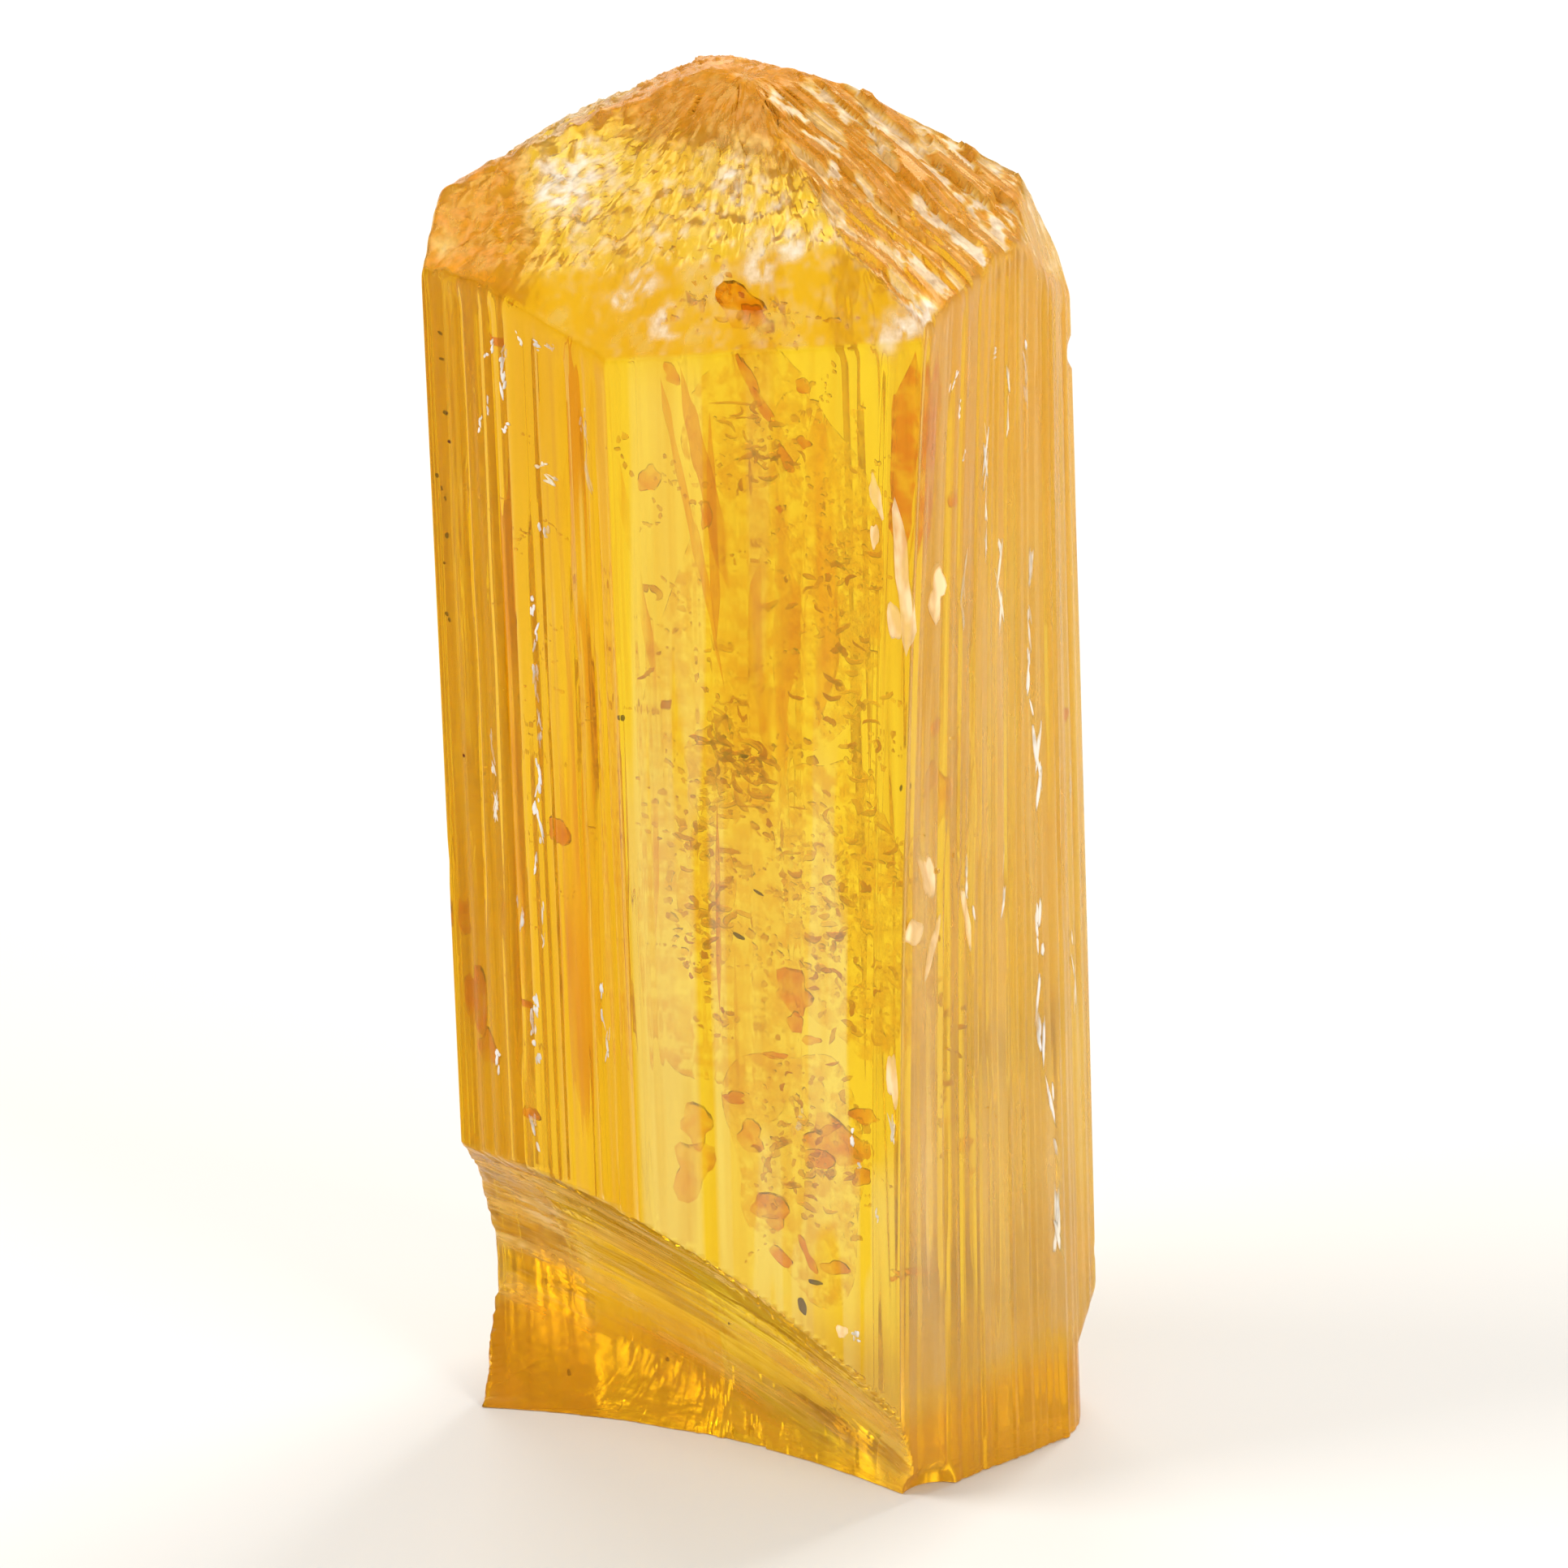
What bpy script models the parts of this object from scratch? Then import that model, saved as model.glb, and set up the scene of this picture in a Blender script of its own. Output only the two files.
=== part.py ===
"""Topaz crystal: one upright prism with an etched, roofed top and a broken base.

Metres, +Z up, resting on its base at z = 0. The front of the crystal looks along -Y.
"""
import math
import random

import bmesh
import bpy
from mathutils import Euler, Matrix, Vector

MM = 0.001
NODE = "topaz_crystal"

# Driving dimensions, in millimetres
HEIGHT = 35.0
SHOULDER = 30.7
STOCK_TOP = 37.0

# Outline of the prism at three heights, counter-clockwise from above
# Corners: left, front bend, front, right front, right, back bend, back, left back
OUTLINE_BASE = (
    (-7.50, 0.00), (-3.27, -3.15), (2.62, -5.52), (6.72, -2.20),
    (7.46, -0.40), (3.55, 3.00), (-3.50, 5.55), (-6.98, 1.50),
)
OUTLINE_MIDDLE = (
    (-7.52, 0.00), (-3.30, -3.16), (3.18, -5.78), (6.86, -1.80),
    (7.58, 0.00), (3.60, 3.05), (-3.58, 5.68), (-7.04, 1.45),
)
OUTLINE_SHOULDER = (
    (-7.56, 0.00), (-3.32, -3.17), (4.15, -6.22), (7.14, -1.23),
    (7.64, 0.38), (3.65, 3.10), (-3.65, 5.80), (-7.10, 1.40),
)
MIDDLE = 15.4
RING_HEIGHTS = (0.0, 5.0, 10.0, 15.4, 20.5, 25.6, STOCK_TOP)

# Faces of the top: a point on the plane, its dip from level, and the compass turn of its normal from +X
TOP_FACES = {
    "front_left_roof": ((-1.23, 0.86, 34.72), 45.0, 235.2),
    "front_right_roof": ((4.00, 0.86, 33.72), 28.5, -40.0),
    "back_left_roof": ((-1.71, 0.86, 34.45), 31.3, 142.6),
    "back_right_roof": ((4.00, 0.86, 33.72), 42.0, 62.0),
    "front_bevel": ((-3.32, -3.17, 29.13), 63.9, 242.1),
    "back_bevel": ((3.65, 3.10, 29.30), 63.9, 62.1),
    "right_end": ((6.84, 0.46, 31.68), 74.0, -8.0),
    "left_end": ((-6.95, 1.00, 32.20), 62.0, 176.0),
}

# Faces worn flat after the edges are rounded
CREST_FACES = {
    "left_crest": ((-1.55, 0.86, 34.66), 14.0, 170.0),
    "right_crest": ((1.00, 0.86, 34.70), 11.0, 8.0),
    "crest": ((-0.30, 0.86, HEIGHT), 2.0, -60.0),
}

ROOF_WEAR = 0.34
ROOF_WEAR_ABOVE = 28.0
EDGE_WEAR = 0.10

# The broken hollow low on the front left
SCOOP_CENTRE = (-8.33, -10.42, 2.10)
SCOOP_HALF_SIZES = (19.34, 11.37, 7.20)
SCOOP_TURN = (-1.7, 18.1, -33.3)

# Steps that run down the scoop: where they start and end as (x, z), half their width, half their depth
HACKLES = (
    ((-6.2, 5.9), (1.9, 2.1), 0.34, 0.13),
    ((-5.8, 4.3), (1.3, 1.2), 0.42, 0.15),
    ((-5.2, 3.0), (-0.2, 1.0), 0.36, 0.12),
)
HACKLE_BARS = 6

# The lower right, broken back by a step
STEP_INSET = 0.45
STEP_LOW = 2.0
STEP_HIGH = 3.3

# Chip beside the front corner of the base, and the small notch at the right shoulder
CHIP_CENTRE = (3.55, -5.20, -0.1)
CHIP_RADIUS = 0.80
NOTCH_CENTRE = (7.86, 0.30, 27.4)
NOTCH_RADIUS = 0.42

# Growth grooves: the side of the outline, how many, and the deepest and the widest of them
GROOVE_SEED = 6
GROOVE_SPANS = ((0.0, 30.7), (0.0, 30.7), (0.0, 22.0), (6.5, 30.7), (10.0, 27.0))
GROOVED_SIDES = {
    0: (9, 0.10, 0.34),
    1: (5, 0.06, 0.30),
    2: (9, 0.12, 0.32),
    3: (2, 0.08, 0.20),
    4: (5, 0.10, 0.36),
    5: (6, 0.09, 0.36),
    6: (7, 0.10, 0.34),
    7: (2, 0.08, 0.20),
}

# Ledges etched across the front right roof: centre, length, width, depth
LEDGE_TURN = -52.0
LEDGES = (
    ((2.05, -0.55), 4.6, 0.34, 0.30),
    ((2.95, -0.40), 5.2, 0.30, 0.34),
    ((3.75, -0.55), 4.8, 0.36, 0.28),
    ((4.60, -0.50), 4.2, 0.30, 0.32),
    ((5.40, -0.20), 3.4, 0.34, 0.26),
    ((3.10, -2.30), 3.0, 0.30, 0.30),
    ((4.10, -2.20), 2.8, 0.34, 0.26),
    ((5.10, -1.90), 2.6, 0.28, 0.30),
    ((3.70, -3.90), 1.9, 0.30, 0.24),
    ((4.70, -3.60), 1.8, 0.28, 0.26),
    ((1.60, -1.90), 2.2, 0.30, 0.22),
    ((6.05, -0.90), 1.6, 0.26, 0.22),
)

# Small pits and lumps on the other roof faces, from one seed
PIT_SEED = 11
PIT_COUNT = 40
PIT_RADIUS = (0.35, 0.85)
PIT_DEPTH = (0.08, 0.20)


def clear_scene():
    """Remove every object of the scene."""
    for obj in list(bpy.data.objects):
        bpy.data.objects.remove(obj, do_unlink=True)


def collection(name, hidden=False):
    """A new collection, linked to the scene."""
    made = bpy.data.collections.new(name)
    bpy.context.scene.collection.children.link(made)
    made.hide_render = hidden
    return made


def object_of(bm, name, into):
    """Turn a bmesh into an object of the collection."""
    bmesh.ops.recalc_face_normals(bm, faces=bm.faces)
    mesh = bpy.data.meshes.new(name)
    bm.to_mesh(mesh)
    bm.free()
    obj = bpy.data.objects.new(name, mesh)
    into.objects.link(obj)
    return obj


def amber_material():
    """Principled material of the crystal."""
    material = bpy.data.materials.new("amber_topaz")
    material.use_nodes = True
    shader = material.node_tree.nodes["Principled BSDF"]
    shader.inputs["Base Color"].default_value = (0.80, 0.42, 0.045, 1.0)
    shader.inputs["Roughness"].default_value = 0.12
    shader.inputs["Metallic"].default_value = 0.0
    shader.inputs["IOR"].default_value = 1.62
    shader.inputs["Transmission Weight"].default_value = 0.6
    material.diffuse_color = (0.80, 0.42, 0.045, 1.0)
    return material


def outline_at(height):
    """Corners of the prism outline at a height, on a parabola through the three outlines."""
    h = min(height, SHOULDER)
    shares = (
        (h - MIDDLE) * (h - SHOULDER) / (MIDDLE * SHOULDER),
        h * (h - SHOULDER) / (MIDDLE * (MIDDLE - SHOULDER)),
        h * (h - MIDDLE) / (SHOULDER * (SHOULDER - MIDDLE)),
    )
    corners = []
    for points in zip(OUTLINE_BASE, OUTLINE_MIDDLE, OUTLINE_SHOULDER):
        x = sum(share * point[0] for share, point in zip(shares, points))
        y = sum(share * point[1] for share, point in zip(shares, points))
        corners.append(Vector((x, y, height)))
    return corners


def prism():
    """The prism as rings of corners bridged from the base to above the top."""
    bm = bmesh.new()
    loops = []
    for height in RING_HEIGHTS:
        corners = [bm.verts.new(p * MM) for p in outline_at(height)]
        count = len(corners)
        loops.append([
            bm.edges.new((corners[i], corners[(i + 1) % count])) for i in range(count)
        ])
    for lower, upper in zip(loops, loops[1:]):
        bmesh.ops.bridge_loops(bm, edges=lower + upper)
    bmesh.ops.holes_fill(bm, edges=bm.edges, sides=0)
    bmesh.ops.recalc_face_normals(bm, faces=bm.faces)
    return bm


def normal_of(dip, turn):
    """Outward normal of a face from its dip and its compass turn, in degrees."""
    level = math.sin(math.radians(dip))
    return Vector((
        level * math.cos(math.radians(turn)),
        level * math.sin(math.radians(turn)),
        math.cos(math.radians(dip)),
    ))


def slice_off(bm, point, normal):
    """Cut away what lies outside a plane and close the cut."""
    cut = bmesh.ops.bisect_plane(
        bm,
        geom=bm.verts[:] + bm.edges[:] + bm.faces[:],
        plane_co=Vector(point) * MM,
        plane_no=normal,
        clear_outer=True,
    )
    rim = [g for g in cut["geom_cut"] if isinstance(g, bmesh.types.BMEdge)]
    if rim:
        bmesh.ops.holes_fill(bm, edges=rim, sides=0)
    bmesh.ops.recalc_face_normals(bm, faces=bm.faces)


def wear_edges(bm, offset, segments, wanted):
    """Round the sharp edges that the test picks."""
    edges = [
        e for e in bm.edges
        if len(e.link_faces) == 2
        and e.calc_face_angle(0.0) > math.radians(9.0)
        and wanted((e.verts[0].co + e.verts[1].co) / (2.0 * MM), e)
    ]
    bmesh.ops.bevel(
        bm,
        geom=edges,
        offset=offset * MM,
        segments=segments,
        profile=0.5,
        affect="EDGES",
        clamp_overlap=True,
    )


def sharp_crystal():
    """The prism with its top faces cut and the edges worn."""
    bm = prism()
    for point, dip, turn in TOP_FACES.values():
        slice_off(bm, point, normal_of(dip, turn))
    wear_edges(bm, ROOF_WEAR, 3, lambda middle, e: middle.z > ROOF_WEAR_ABOVE)
    for point, dip, turn in CREST_FACES.values():
        slice_off(bm, point, normal_of(dip, turn))
    wear_edges(
        bm, EDGE_WEAR, 1,
        lambda middle, e: 0.5 < middle.z < ROOF_WEAR_ABOVE and e.calc_length() > 10.0 * MM,
    )
    bmesh.ops.remove_doubles(bm, verts=bm.verts, dist=0.004 * MM)
    return bm


def bar(bm, start, end, half_width, half_depth, out):
    """A long diamond bar from start to end, its short diagonal along the outward direction."""
    along = end - start
    forward = along.normalized()
    depth = (out - forward * out.dot(forward)).normalized()
    width = forward.cross(depth)
    turn = Matrix((
        (width.x, depth.x, forward.x, 0.0),
        (width.y, depth.y, forward.y, 0.0),
        (width.z, depth.z, forward.z, 0.0),
        (0.0, 0.0, 0.0, 1.0),
    ))
    size = Matrix.Diagonal((half_width * MM, half_depth * MM, along.length * MM, 1.0))
    place = Matrix.Translation((start + end) / 2.0 * MM)
    bmesh.ops.create_cone(
        bm, cap_ends=True, segments=4, radius1=1.0, radius2=1.0, depth=1.0,
        matrix=place @ turn @ size,
    )


def side_point(side, share, height):
    """A point on one side of the prism, between its two corners, at a height."""
    corners = outline_at(height)
    return corners[side].lerp(corners[(side + 1) % len(corners)], share)


def growth_grooves(cutters):
    """Fine grooves that run up each side, each one a straight bar over part of the height."""
    rng = random.Random(GROOVE_SEED)
    bm = bmesh.new()
    for side, (count, deepest, widest) in GROOVED_SIDES.items():
        for i in range(count):
            share = (i + 1.0 + rng.uniform(-0.22, 0.22)) / (count + 1.0)
            low, high = rng.choice(GROOVE_SPANS)
            start = side_point(side, share, low)
            end = side_point(side, share, high)
            if low == 0.0:
                start = start - (end - start).normalized()
            across = side_point(side, 0.9, 12.0) - side_point(side, 0.1, 12.0)
            out = (end - start).cross(across).normalized()
            middle = side_point(side, share, (low + high) / 2.0)
            bow = abs((middle - (start + end) / 2.0).dot(out))
            depth = deepest * rng.uniform(0.55, 1.0) + 1.6 * bow
            bar(bm, start, end, widest * rng.uniform(0.25, 0.5), depth, out)
    return object_of(bm, "growth_grooves_cutter", cutters)


def scoop_frame():
    """Turn of the scoop's ellipsoid, and its place."""
    turn = Euler([math.radians(a) for a in SCOOP_TURN], "XYZ").to_matrix()
    return turn, Vector(SCOOP_CENTRE)


def on_scoop(x, z):
    """The point of the scoop's far wall at x and z, and its outward normal, in millimetres."""
    turn, centre = scoop_frame()
    sizes = Vector(SCOOP_HALF_SIZES)
    near = turn.transposed() @ (Vector((x, 0.0, z)) - centre)
    way = turn.transposed() @ Vector((0.0, 1.0, 0.0))
    p = Vector(near[i] / sizes[i] for i in range(3))
    d = Vector(way[i] / sizes[i] for i in range(3))
    half = p.dot(d)
    root = math.sqrt(half * half - d.dot(d) * (p.dot(p) - 1.0))
    reach = (root - half) / d.dot(d)
    q = near + way * reach
    normal = turn @ Vector(q[i] / sizes[i] ** 2 for i in range(3))
    return centre + turn @ q, -normal.normalized()


def scoop(cutters):
    """The hollow broken out of the front left."""
    bm = bmesh.new()
    turn, centre = scoop_frame()
    size = Matrix.Diagonal(tuple(s * MM for s in SCOOP_HALF_SIZES) + (1.0,))
    place = Matrix.Translation(centre * MM) @ turn.to_4x4()
    bmesh.ops.create_uvsphere(
        bm, u_segments=96, v_segments=48, radius=1.0, matrix=place @ size,
    )
    return object_of(bm, "scoop_cutter", cutters)


def hackles(cutters):
    """Shallow steps along the hollow, as short bars end to end."""
    bm = bmesh.new()
    for (x0, z0), (x1, z1), half_width, half_depth in HACKLES:
        points = []
        for i in range(HACKLE_BARS + 1):
            share = i / HACKLE_BARS
            points.append(on_scoop(x0 + (x1 - x0) * share, z0 + (z1 - z0) * share))
        for (start, out), (end, _) in zip(points, points[1:]):
            tilt = out + 0.5 * Vector((0.0, 0.0, 1.0))
            bar(bm, start, end + (end - start) * 0.04, half_width, half_depth, tilt)
    return object_of(bm, "hackle_cutter", cutters)


def right_step(cutters):
    """The wedge that sets the lower right back."""
    bm = bmesh.new()
    bmesh.ops.create_cube(bm, size=1.0)
    inner = OUTLINE_BASE[4][0] - STEP_INSET
    for v in bm.verts:
        v.co.y = v.co.y * 12.0 * MM
        right = v.co.x > 0.0
        upper = v.co.z > 0.0
        v.co.x = 12.0 * MM if right else inner * MM
        v.co.z = STEP_LOW * MM if upper else -1.0 * MM
        if right and upper:
            v.co.z = (STEP_LOW + (STEP_HIGH - STEP_LOW) * (12.0 - inner) / STEP_INSET) * MM
    return object_of(bm, "right_step_cutter", cutters)


def blob(bm, centre, radius, squash=1.0):
    """A coarse rounded lump."""
    place = Matrix.Translation(Vector(centre) * MM)
    bmesh.ops.create_icosphere(
        bm, subdivisions=1, radius=radius * MM,
        matrix=place @ Matrix.Diagonal((1.0, 1.0, squash, 1.0)),
    )


def nicks(cutters):
    """The chip at the front of the base and the notch under the right shoulder."""
    bm = bmesh.new()
    blob(bm, CHIP_CENTRE, CHIP_RADIUS, 1.4)
    blob(bm, NOTCH_CENTRE, NOTCH_RADIUS, 1.8)
    return object_of(bm, "nick_cutter", cutters)


def height_on(face, x, y):
    """Height of a top face over a point, in millimetres."""
    point, dip, turn = TOP_FACES[face]
    n = normal_of(dip, turn)
    return point[2] - (n.x * (x - point[0]) + n.y * (y - point[1])) / n.z


def roof_height(x, y):
    """Height of the sharp top over a point, and the face that makes it."""
    return min((height_on(face, x, y), face) for face in TOP_FACES)


def roof_ledges(cutters):
    """Slanting ledges etched across the front right roof."""
    bm = bmesh.new()
    out = normal_of(*TOP_FACES["front_right_roof"][1:])
    turn = math.radians(LEDGE_TURN)
    along = Vector((math.cos(turn), math.sin(turn), 0.0))
    for (x, y), length, width, depth in LEDGES:
        ends = []
        for sign in (-0.5, 0.5):
            px = x + along.x * length * sign
            py = y + along.y * length * sign
            ends.append(Vector((px, py, height_on("front_right_roof", px, py))))
        side = out.cross(ends[1] - ends[0]).normalized()
        bar(bm, ends[0], ends[1], width, depth, out + 0.55 * side)
    return object_of(bm, "roof_ledge_cutter", cutters)


def roof_pits(cutters):
    """Shallow pits scattered over the roof faces that carry no ledges."""
    rng = random.Random(PIT_SEED)
    bm = bmesh.new()
    placed = []
    tries = 0
    while len(placed) < PIT_COUNT and tries < 4000:
        tries += 1
        x = rng.uniform(-7.0, 6.4)
        y = rng.uniform(-4.6, 4.6)
        radius = rng.uniform(*PIT_RADIUS)
        height, face = roof_height(x, y)
        if height < 30.0 or face == "front_right_roof":
            continue
        if any((x - a) ** 2 + (y - b) ** 2 < (radius + r) ** 2 * 0.9 for a, b, r in placed):
            continue
        placed.append((x, y, radius))
        normal = normal_of(*TOP_FACES[face][1:])
        lift = radius - rng.uniform(*PIT_DEPTH)
        blob(bm, Vector((x, y, height)) + normal * lift, radius)
    return object_of(bm, "roof_pit_cutter", cutters)


def cut(body, cutter):
    """Cut one cutter from the body by an exact Boolean."""
    cutter.display_type = "WIRE"
    cutter.hide_render = True
    modifier = body.modifiers.new(cutter.name, "BOOLEAN")
    modifier.operation = "DIFFERENCE"
    modifier.solver = "EXACT"
    modifier.use_self = True
    modifier.object = cutter


def centre_on_base(body):
    """Move the finished mesh so that its box stands centred on the origin."""
    bpy.context.view_layer.update()
    graph = bpy.context.evaluated_depsgraph_get()
    mesh = bpy.data.meshes.new_from_object(body.evaluated_get(graph))
    body.modifiers.clear()
    old = body.data
    body.data = mesh
    bpy.data.meshes.remove(old)
    mesh.name = NODE
    low = Vector(min(v.co[i] for v in mesh.vertices) for i in range(3))
    high = Vector(max(v.co[i] for v in mesh.vertices) for i in range(3))
    shift = Vector((-(low.x + high.x) / 2.0, -(low.y + high.y) / 2.0, -low.z))
    for v in mesh.vertices:
        v.co += shift


def main():
    """Build the crystal."""
    clear_scene()
    parts = collection("topaz crystal")
    cutters = collection("cutters", hidden=True)
    body = object_of(sharp_crystal(), NODE, parts)
    body.data.materials.append(amber_material())
    for cutter in (
        scoop(cutters),
        right_step(cutters),
        growth_grooves(cutters),
        hackles(cutters),
        roof_ledges(cutters),
        roof_pits(cutters),
        nicks(cutters),
    ):
        cut(body, cutter)
    centre_on_base(body)


main()
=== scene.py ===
"""Topaz crystal: the dressed model, its studio and its camera.

The crystal's outer surface is one closed grid of columns (round the prism) and rows (up the sides, then in rings over
the roof to one pole). Lengths inside the script are millimetres in the crystal's own frame, and each mesh is written
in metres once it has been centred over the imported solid.
"""

import logging
import math
from dataclasses import dataclass, field
from enum import Enum

import bpy
import numpy as np
from mathutils import Matrix, Vector
from mathutils.bvhtree import BVHTree

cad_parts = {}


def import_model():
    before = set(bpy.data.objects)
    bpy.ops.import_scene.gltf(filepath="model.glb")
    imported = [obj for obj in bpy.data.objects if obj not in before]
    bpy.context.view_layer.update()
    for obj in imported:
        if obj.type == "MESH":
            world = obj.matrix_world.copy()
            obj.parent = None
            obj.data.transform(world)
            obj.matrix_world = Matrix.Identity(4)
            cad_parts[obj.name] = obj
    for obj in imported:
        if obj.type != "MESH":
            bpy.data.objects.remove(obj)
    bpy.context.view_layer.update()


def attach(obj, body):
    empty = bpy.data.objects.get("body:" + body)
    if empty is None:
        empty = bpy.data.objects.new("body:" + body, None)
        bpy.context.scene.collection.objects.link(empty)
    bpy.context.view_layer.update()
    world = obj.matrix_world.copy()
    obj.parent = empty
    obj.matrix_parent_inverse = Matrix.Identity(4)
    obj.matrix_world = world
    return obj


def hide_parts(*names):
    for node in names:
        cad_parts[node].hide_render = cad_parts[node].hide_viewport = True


LOG = logging.getLogger("topaz_crystal")
MM = 0.001
NODE = "topaz_crystal"
FAR = 1.0e6


class Side(Enum):
    """Sides of the prism, counter-clockwise from above."""

    LEFT = 0
    MIDDLE = 1
    RIGHT = 2
    RIGHT_EDGE = 3
    BACK_RIGHT = 4
    BACK = 5
    BACK_LEFT = 6
    LEFT_EDGE = 7


# Flaws, in the crystal's frame. Each row: x, y, z, half width, half height, lean in degrees, shade, side
STAIN = (
    (0.74, -3.66, 13.09, 0.54, 0.53, 10, 0.75, 1), (1.53, -4.09, 9.3, 0.69, 0.64, -20, 0.62, 1),
    (1.17, -3.94, 8.75, 0.5, 0.21, 15, 0.8, 1), (-0.04, -3.51, 7.24, 0.52, 0.43, 20, 0.66, 1),
    (0.14, -3.64, 6.03, 0.38, 0.17, 38, 0.78, 1), (0.78, -3.9, 6.16, 0.13, 0.43, -22, 0.72, 1),
    (2.17, -4.77, 10.18, 0.35, 0.23, 8, 0.9, 1), (-0.44, -3.23, 9.07, 0.38, 0.38, 0, 0.5, 1),
    (-0.79, -3.09, 10.05, 0.31, 0.15, 0, 0.7, 1), (1.39, -4.03, 9.56, 0.31, 0.13, -30, 0.8, 1),
    (1.41, -4.28, 5.97, 0.38, 0.19, 12, 0.6, 1), (3.12, -4.76, 5.95, 0.58, 0.107, 20, 0.7, 2),
    (2.71, -5.12, 5.99, 0.19, 0.085, 10, 0.9, 2), (-1.88, -2.83, 8.04, 0.54, 0.73, 0, 0.12, 1),
    (-1.74, -2.89, 9.25, 0.42, 0.55, 0, 0.16, 1), (3.96, -3.98, 9.53, 0.27, 0.107, 0, 0.15, 2),
    (4.29, -3.65, 8.7, 0.35, 0.19, 5, 0.15, 2), (4.54, -3.6, 7.96, 0.17, 0.085, 0, 0.15, 2),
    (4.11, -4.36, 18.17, 0.33, 0.64, 0, 0.12, 2), (3.83, -4.73, 18.89, 0.27, 0.43, 20, 0.2, 2),
    (-0.12, -3.83, 30.89, 0.62, 0.5, 0, 0.5, 1), (0.24, -3.91, 30.61, 0.33, 0.3, 20, 0.55, 1),
    (-1.63, -3.03, 28.9, 0.23, 0.21, 30, 0.95, 1), (1.44, -4.22, 29.06, 0.25, 0.19, 20, 0.85, 1),
    (1.4, -4.14, 27.57, 0.19, 0.17, 0, 0.8, 1), (0.98, -3.9, 27.07, 0.17, 0.34, -35, 0.75, 1),
    (0.22, -3.66, 28.97, 0.13, 0.73, -22, 0.55, 1), (0.5, -3.71, 28.36, 0.12, 0.51, -35, 0.6, 1),
    (-6.9, 0.08, 11.18, 0.29, 1.02, 0, 0.85, 0), (-6.65, -0.07, 10, 0.27, 0.47, 0, 0.75, 0),
    (-5.66, -0.84, 8.57, 0.23, 0.19, 0, 0.9, 0), (-4.72, -1.48, 16.32, 0.31, 0.38, 0, 0.8, 0),
    (-7.13, 0.18, 13.33, 0.19, 0.55, 0, 0.7, 0), (-5.75, -0.81, 11.51, 0.27, 0.085, 15, 0.95, 0),
    (-5.75, -0.81, 28.85, 0.27, 0.13, 10, 0.8, 0), (7.04, -0.54, 18.39, 0.15, 0.23, 0, 1, 3),
    (-0.89, -2.87, 25.25, 0.17, 0.34, 0, 0.85, 1), (0.81, -3.71, 25.71, 0.096, 0.085, 0, 0.95, 1),
    (4.57, -4.3, 25.93, 0.096, 0.21, 0, 0.85, 2), (4, -4.52, 20.17, 0.23, 0.26, 0, 0.6, 2),
    (4.49, -3.97, 19.24, 0.12, 0.43, 10, 0.7, 2), (0.72, -3.71, 12.27, 0.19, 0.3, 0, 0.55, 1),
    (0.21, -3.5, 11.33, 0.27, 0.107, 0, 0.75, 1), (1.08, -3.91, 11.88, 0.23, 0.13, -20, 0.7, 1),
    (2.05, -4.72, 8.54, 0.27, 0.21, -30, 0.7, 1), (-2.16, -2.2, 25.96, 0.27, 0.38, 20, 0.5, 1),
)
MILK = (
    (3.47, -5.87, 24.62, 0.25, 1.66, -2, 0, 1), (4.27, -5.11, 23.88, 0.31, 0.64, 0, 0.2, 2),
    (3.23, -5.77, 23.48, 0.17, 0.6, 0, 0, 1), (3.85, -5.05, 16.44, 0.25, 0.64, -10, 0, 2),
    (3.43, -5.41, 15.15, 0.33, 0.34, 40, 0, 2), (3.88, -4.89, 14.49, 0.13, 0.73, 18, 0, 2),
    (4.76, -3.98, 14.81, 0.096, 0.9, -8, 0, 2), (2.81, -5.57, 11.41, 0.12, 0.81, 0, 0, 1),
    (1.4, -4.98, 4.5, 0.12, 0.21, 0, 0, 1), (2.92, -5.65, 26.7, 0.13, 0.55, -8, 0, 1),
    (2.84, -5.62, 25.64, 0.096, 0.38, 0, 0, 1),
)
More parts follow.
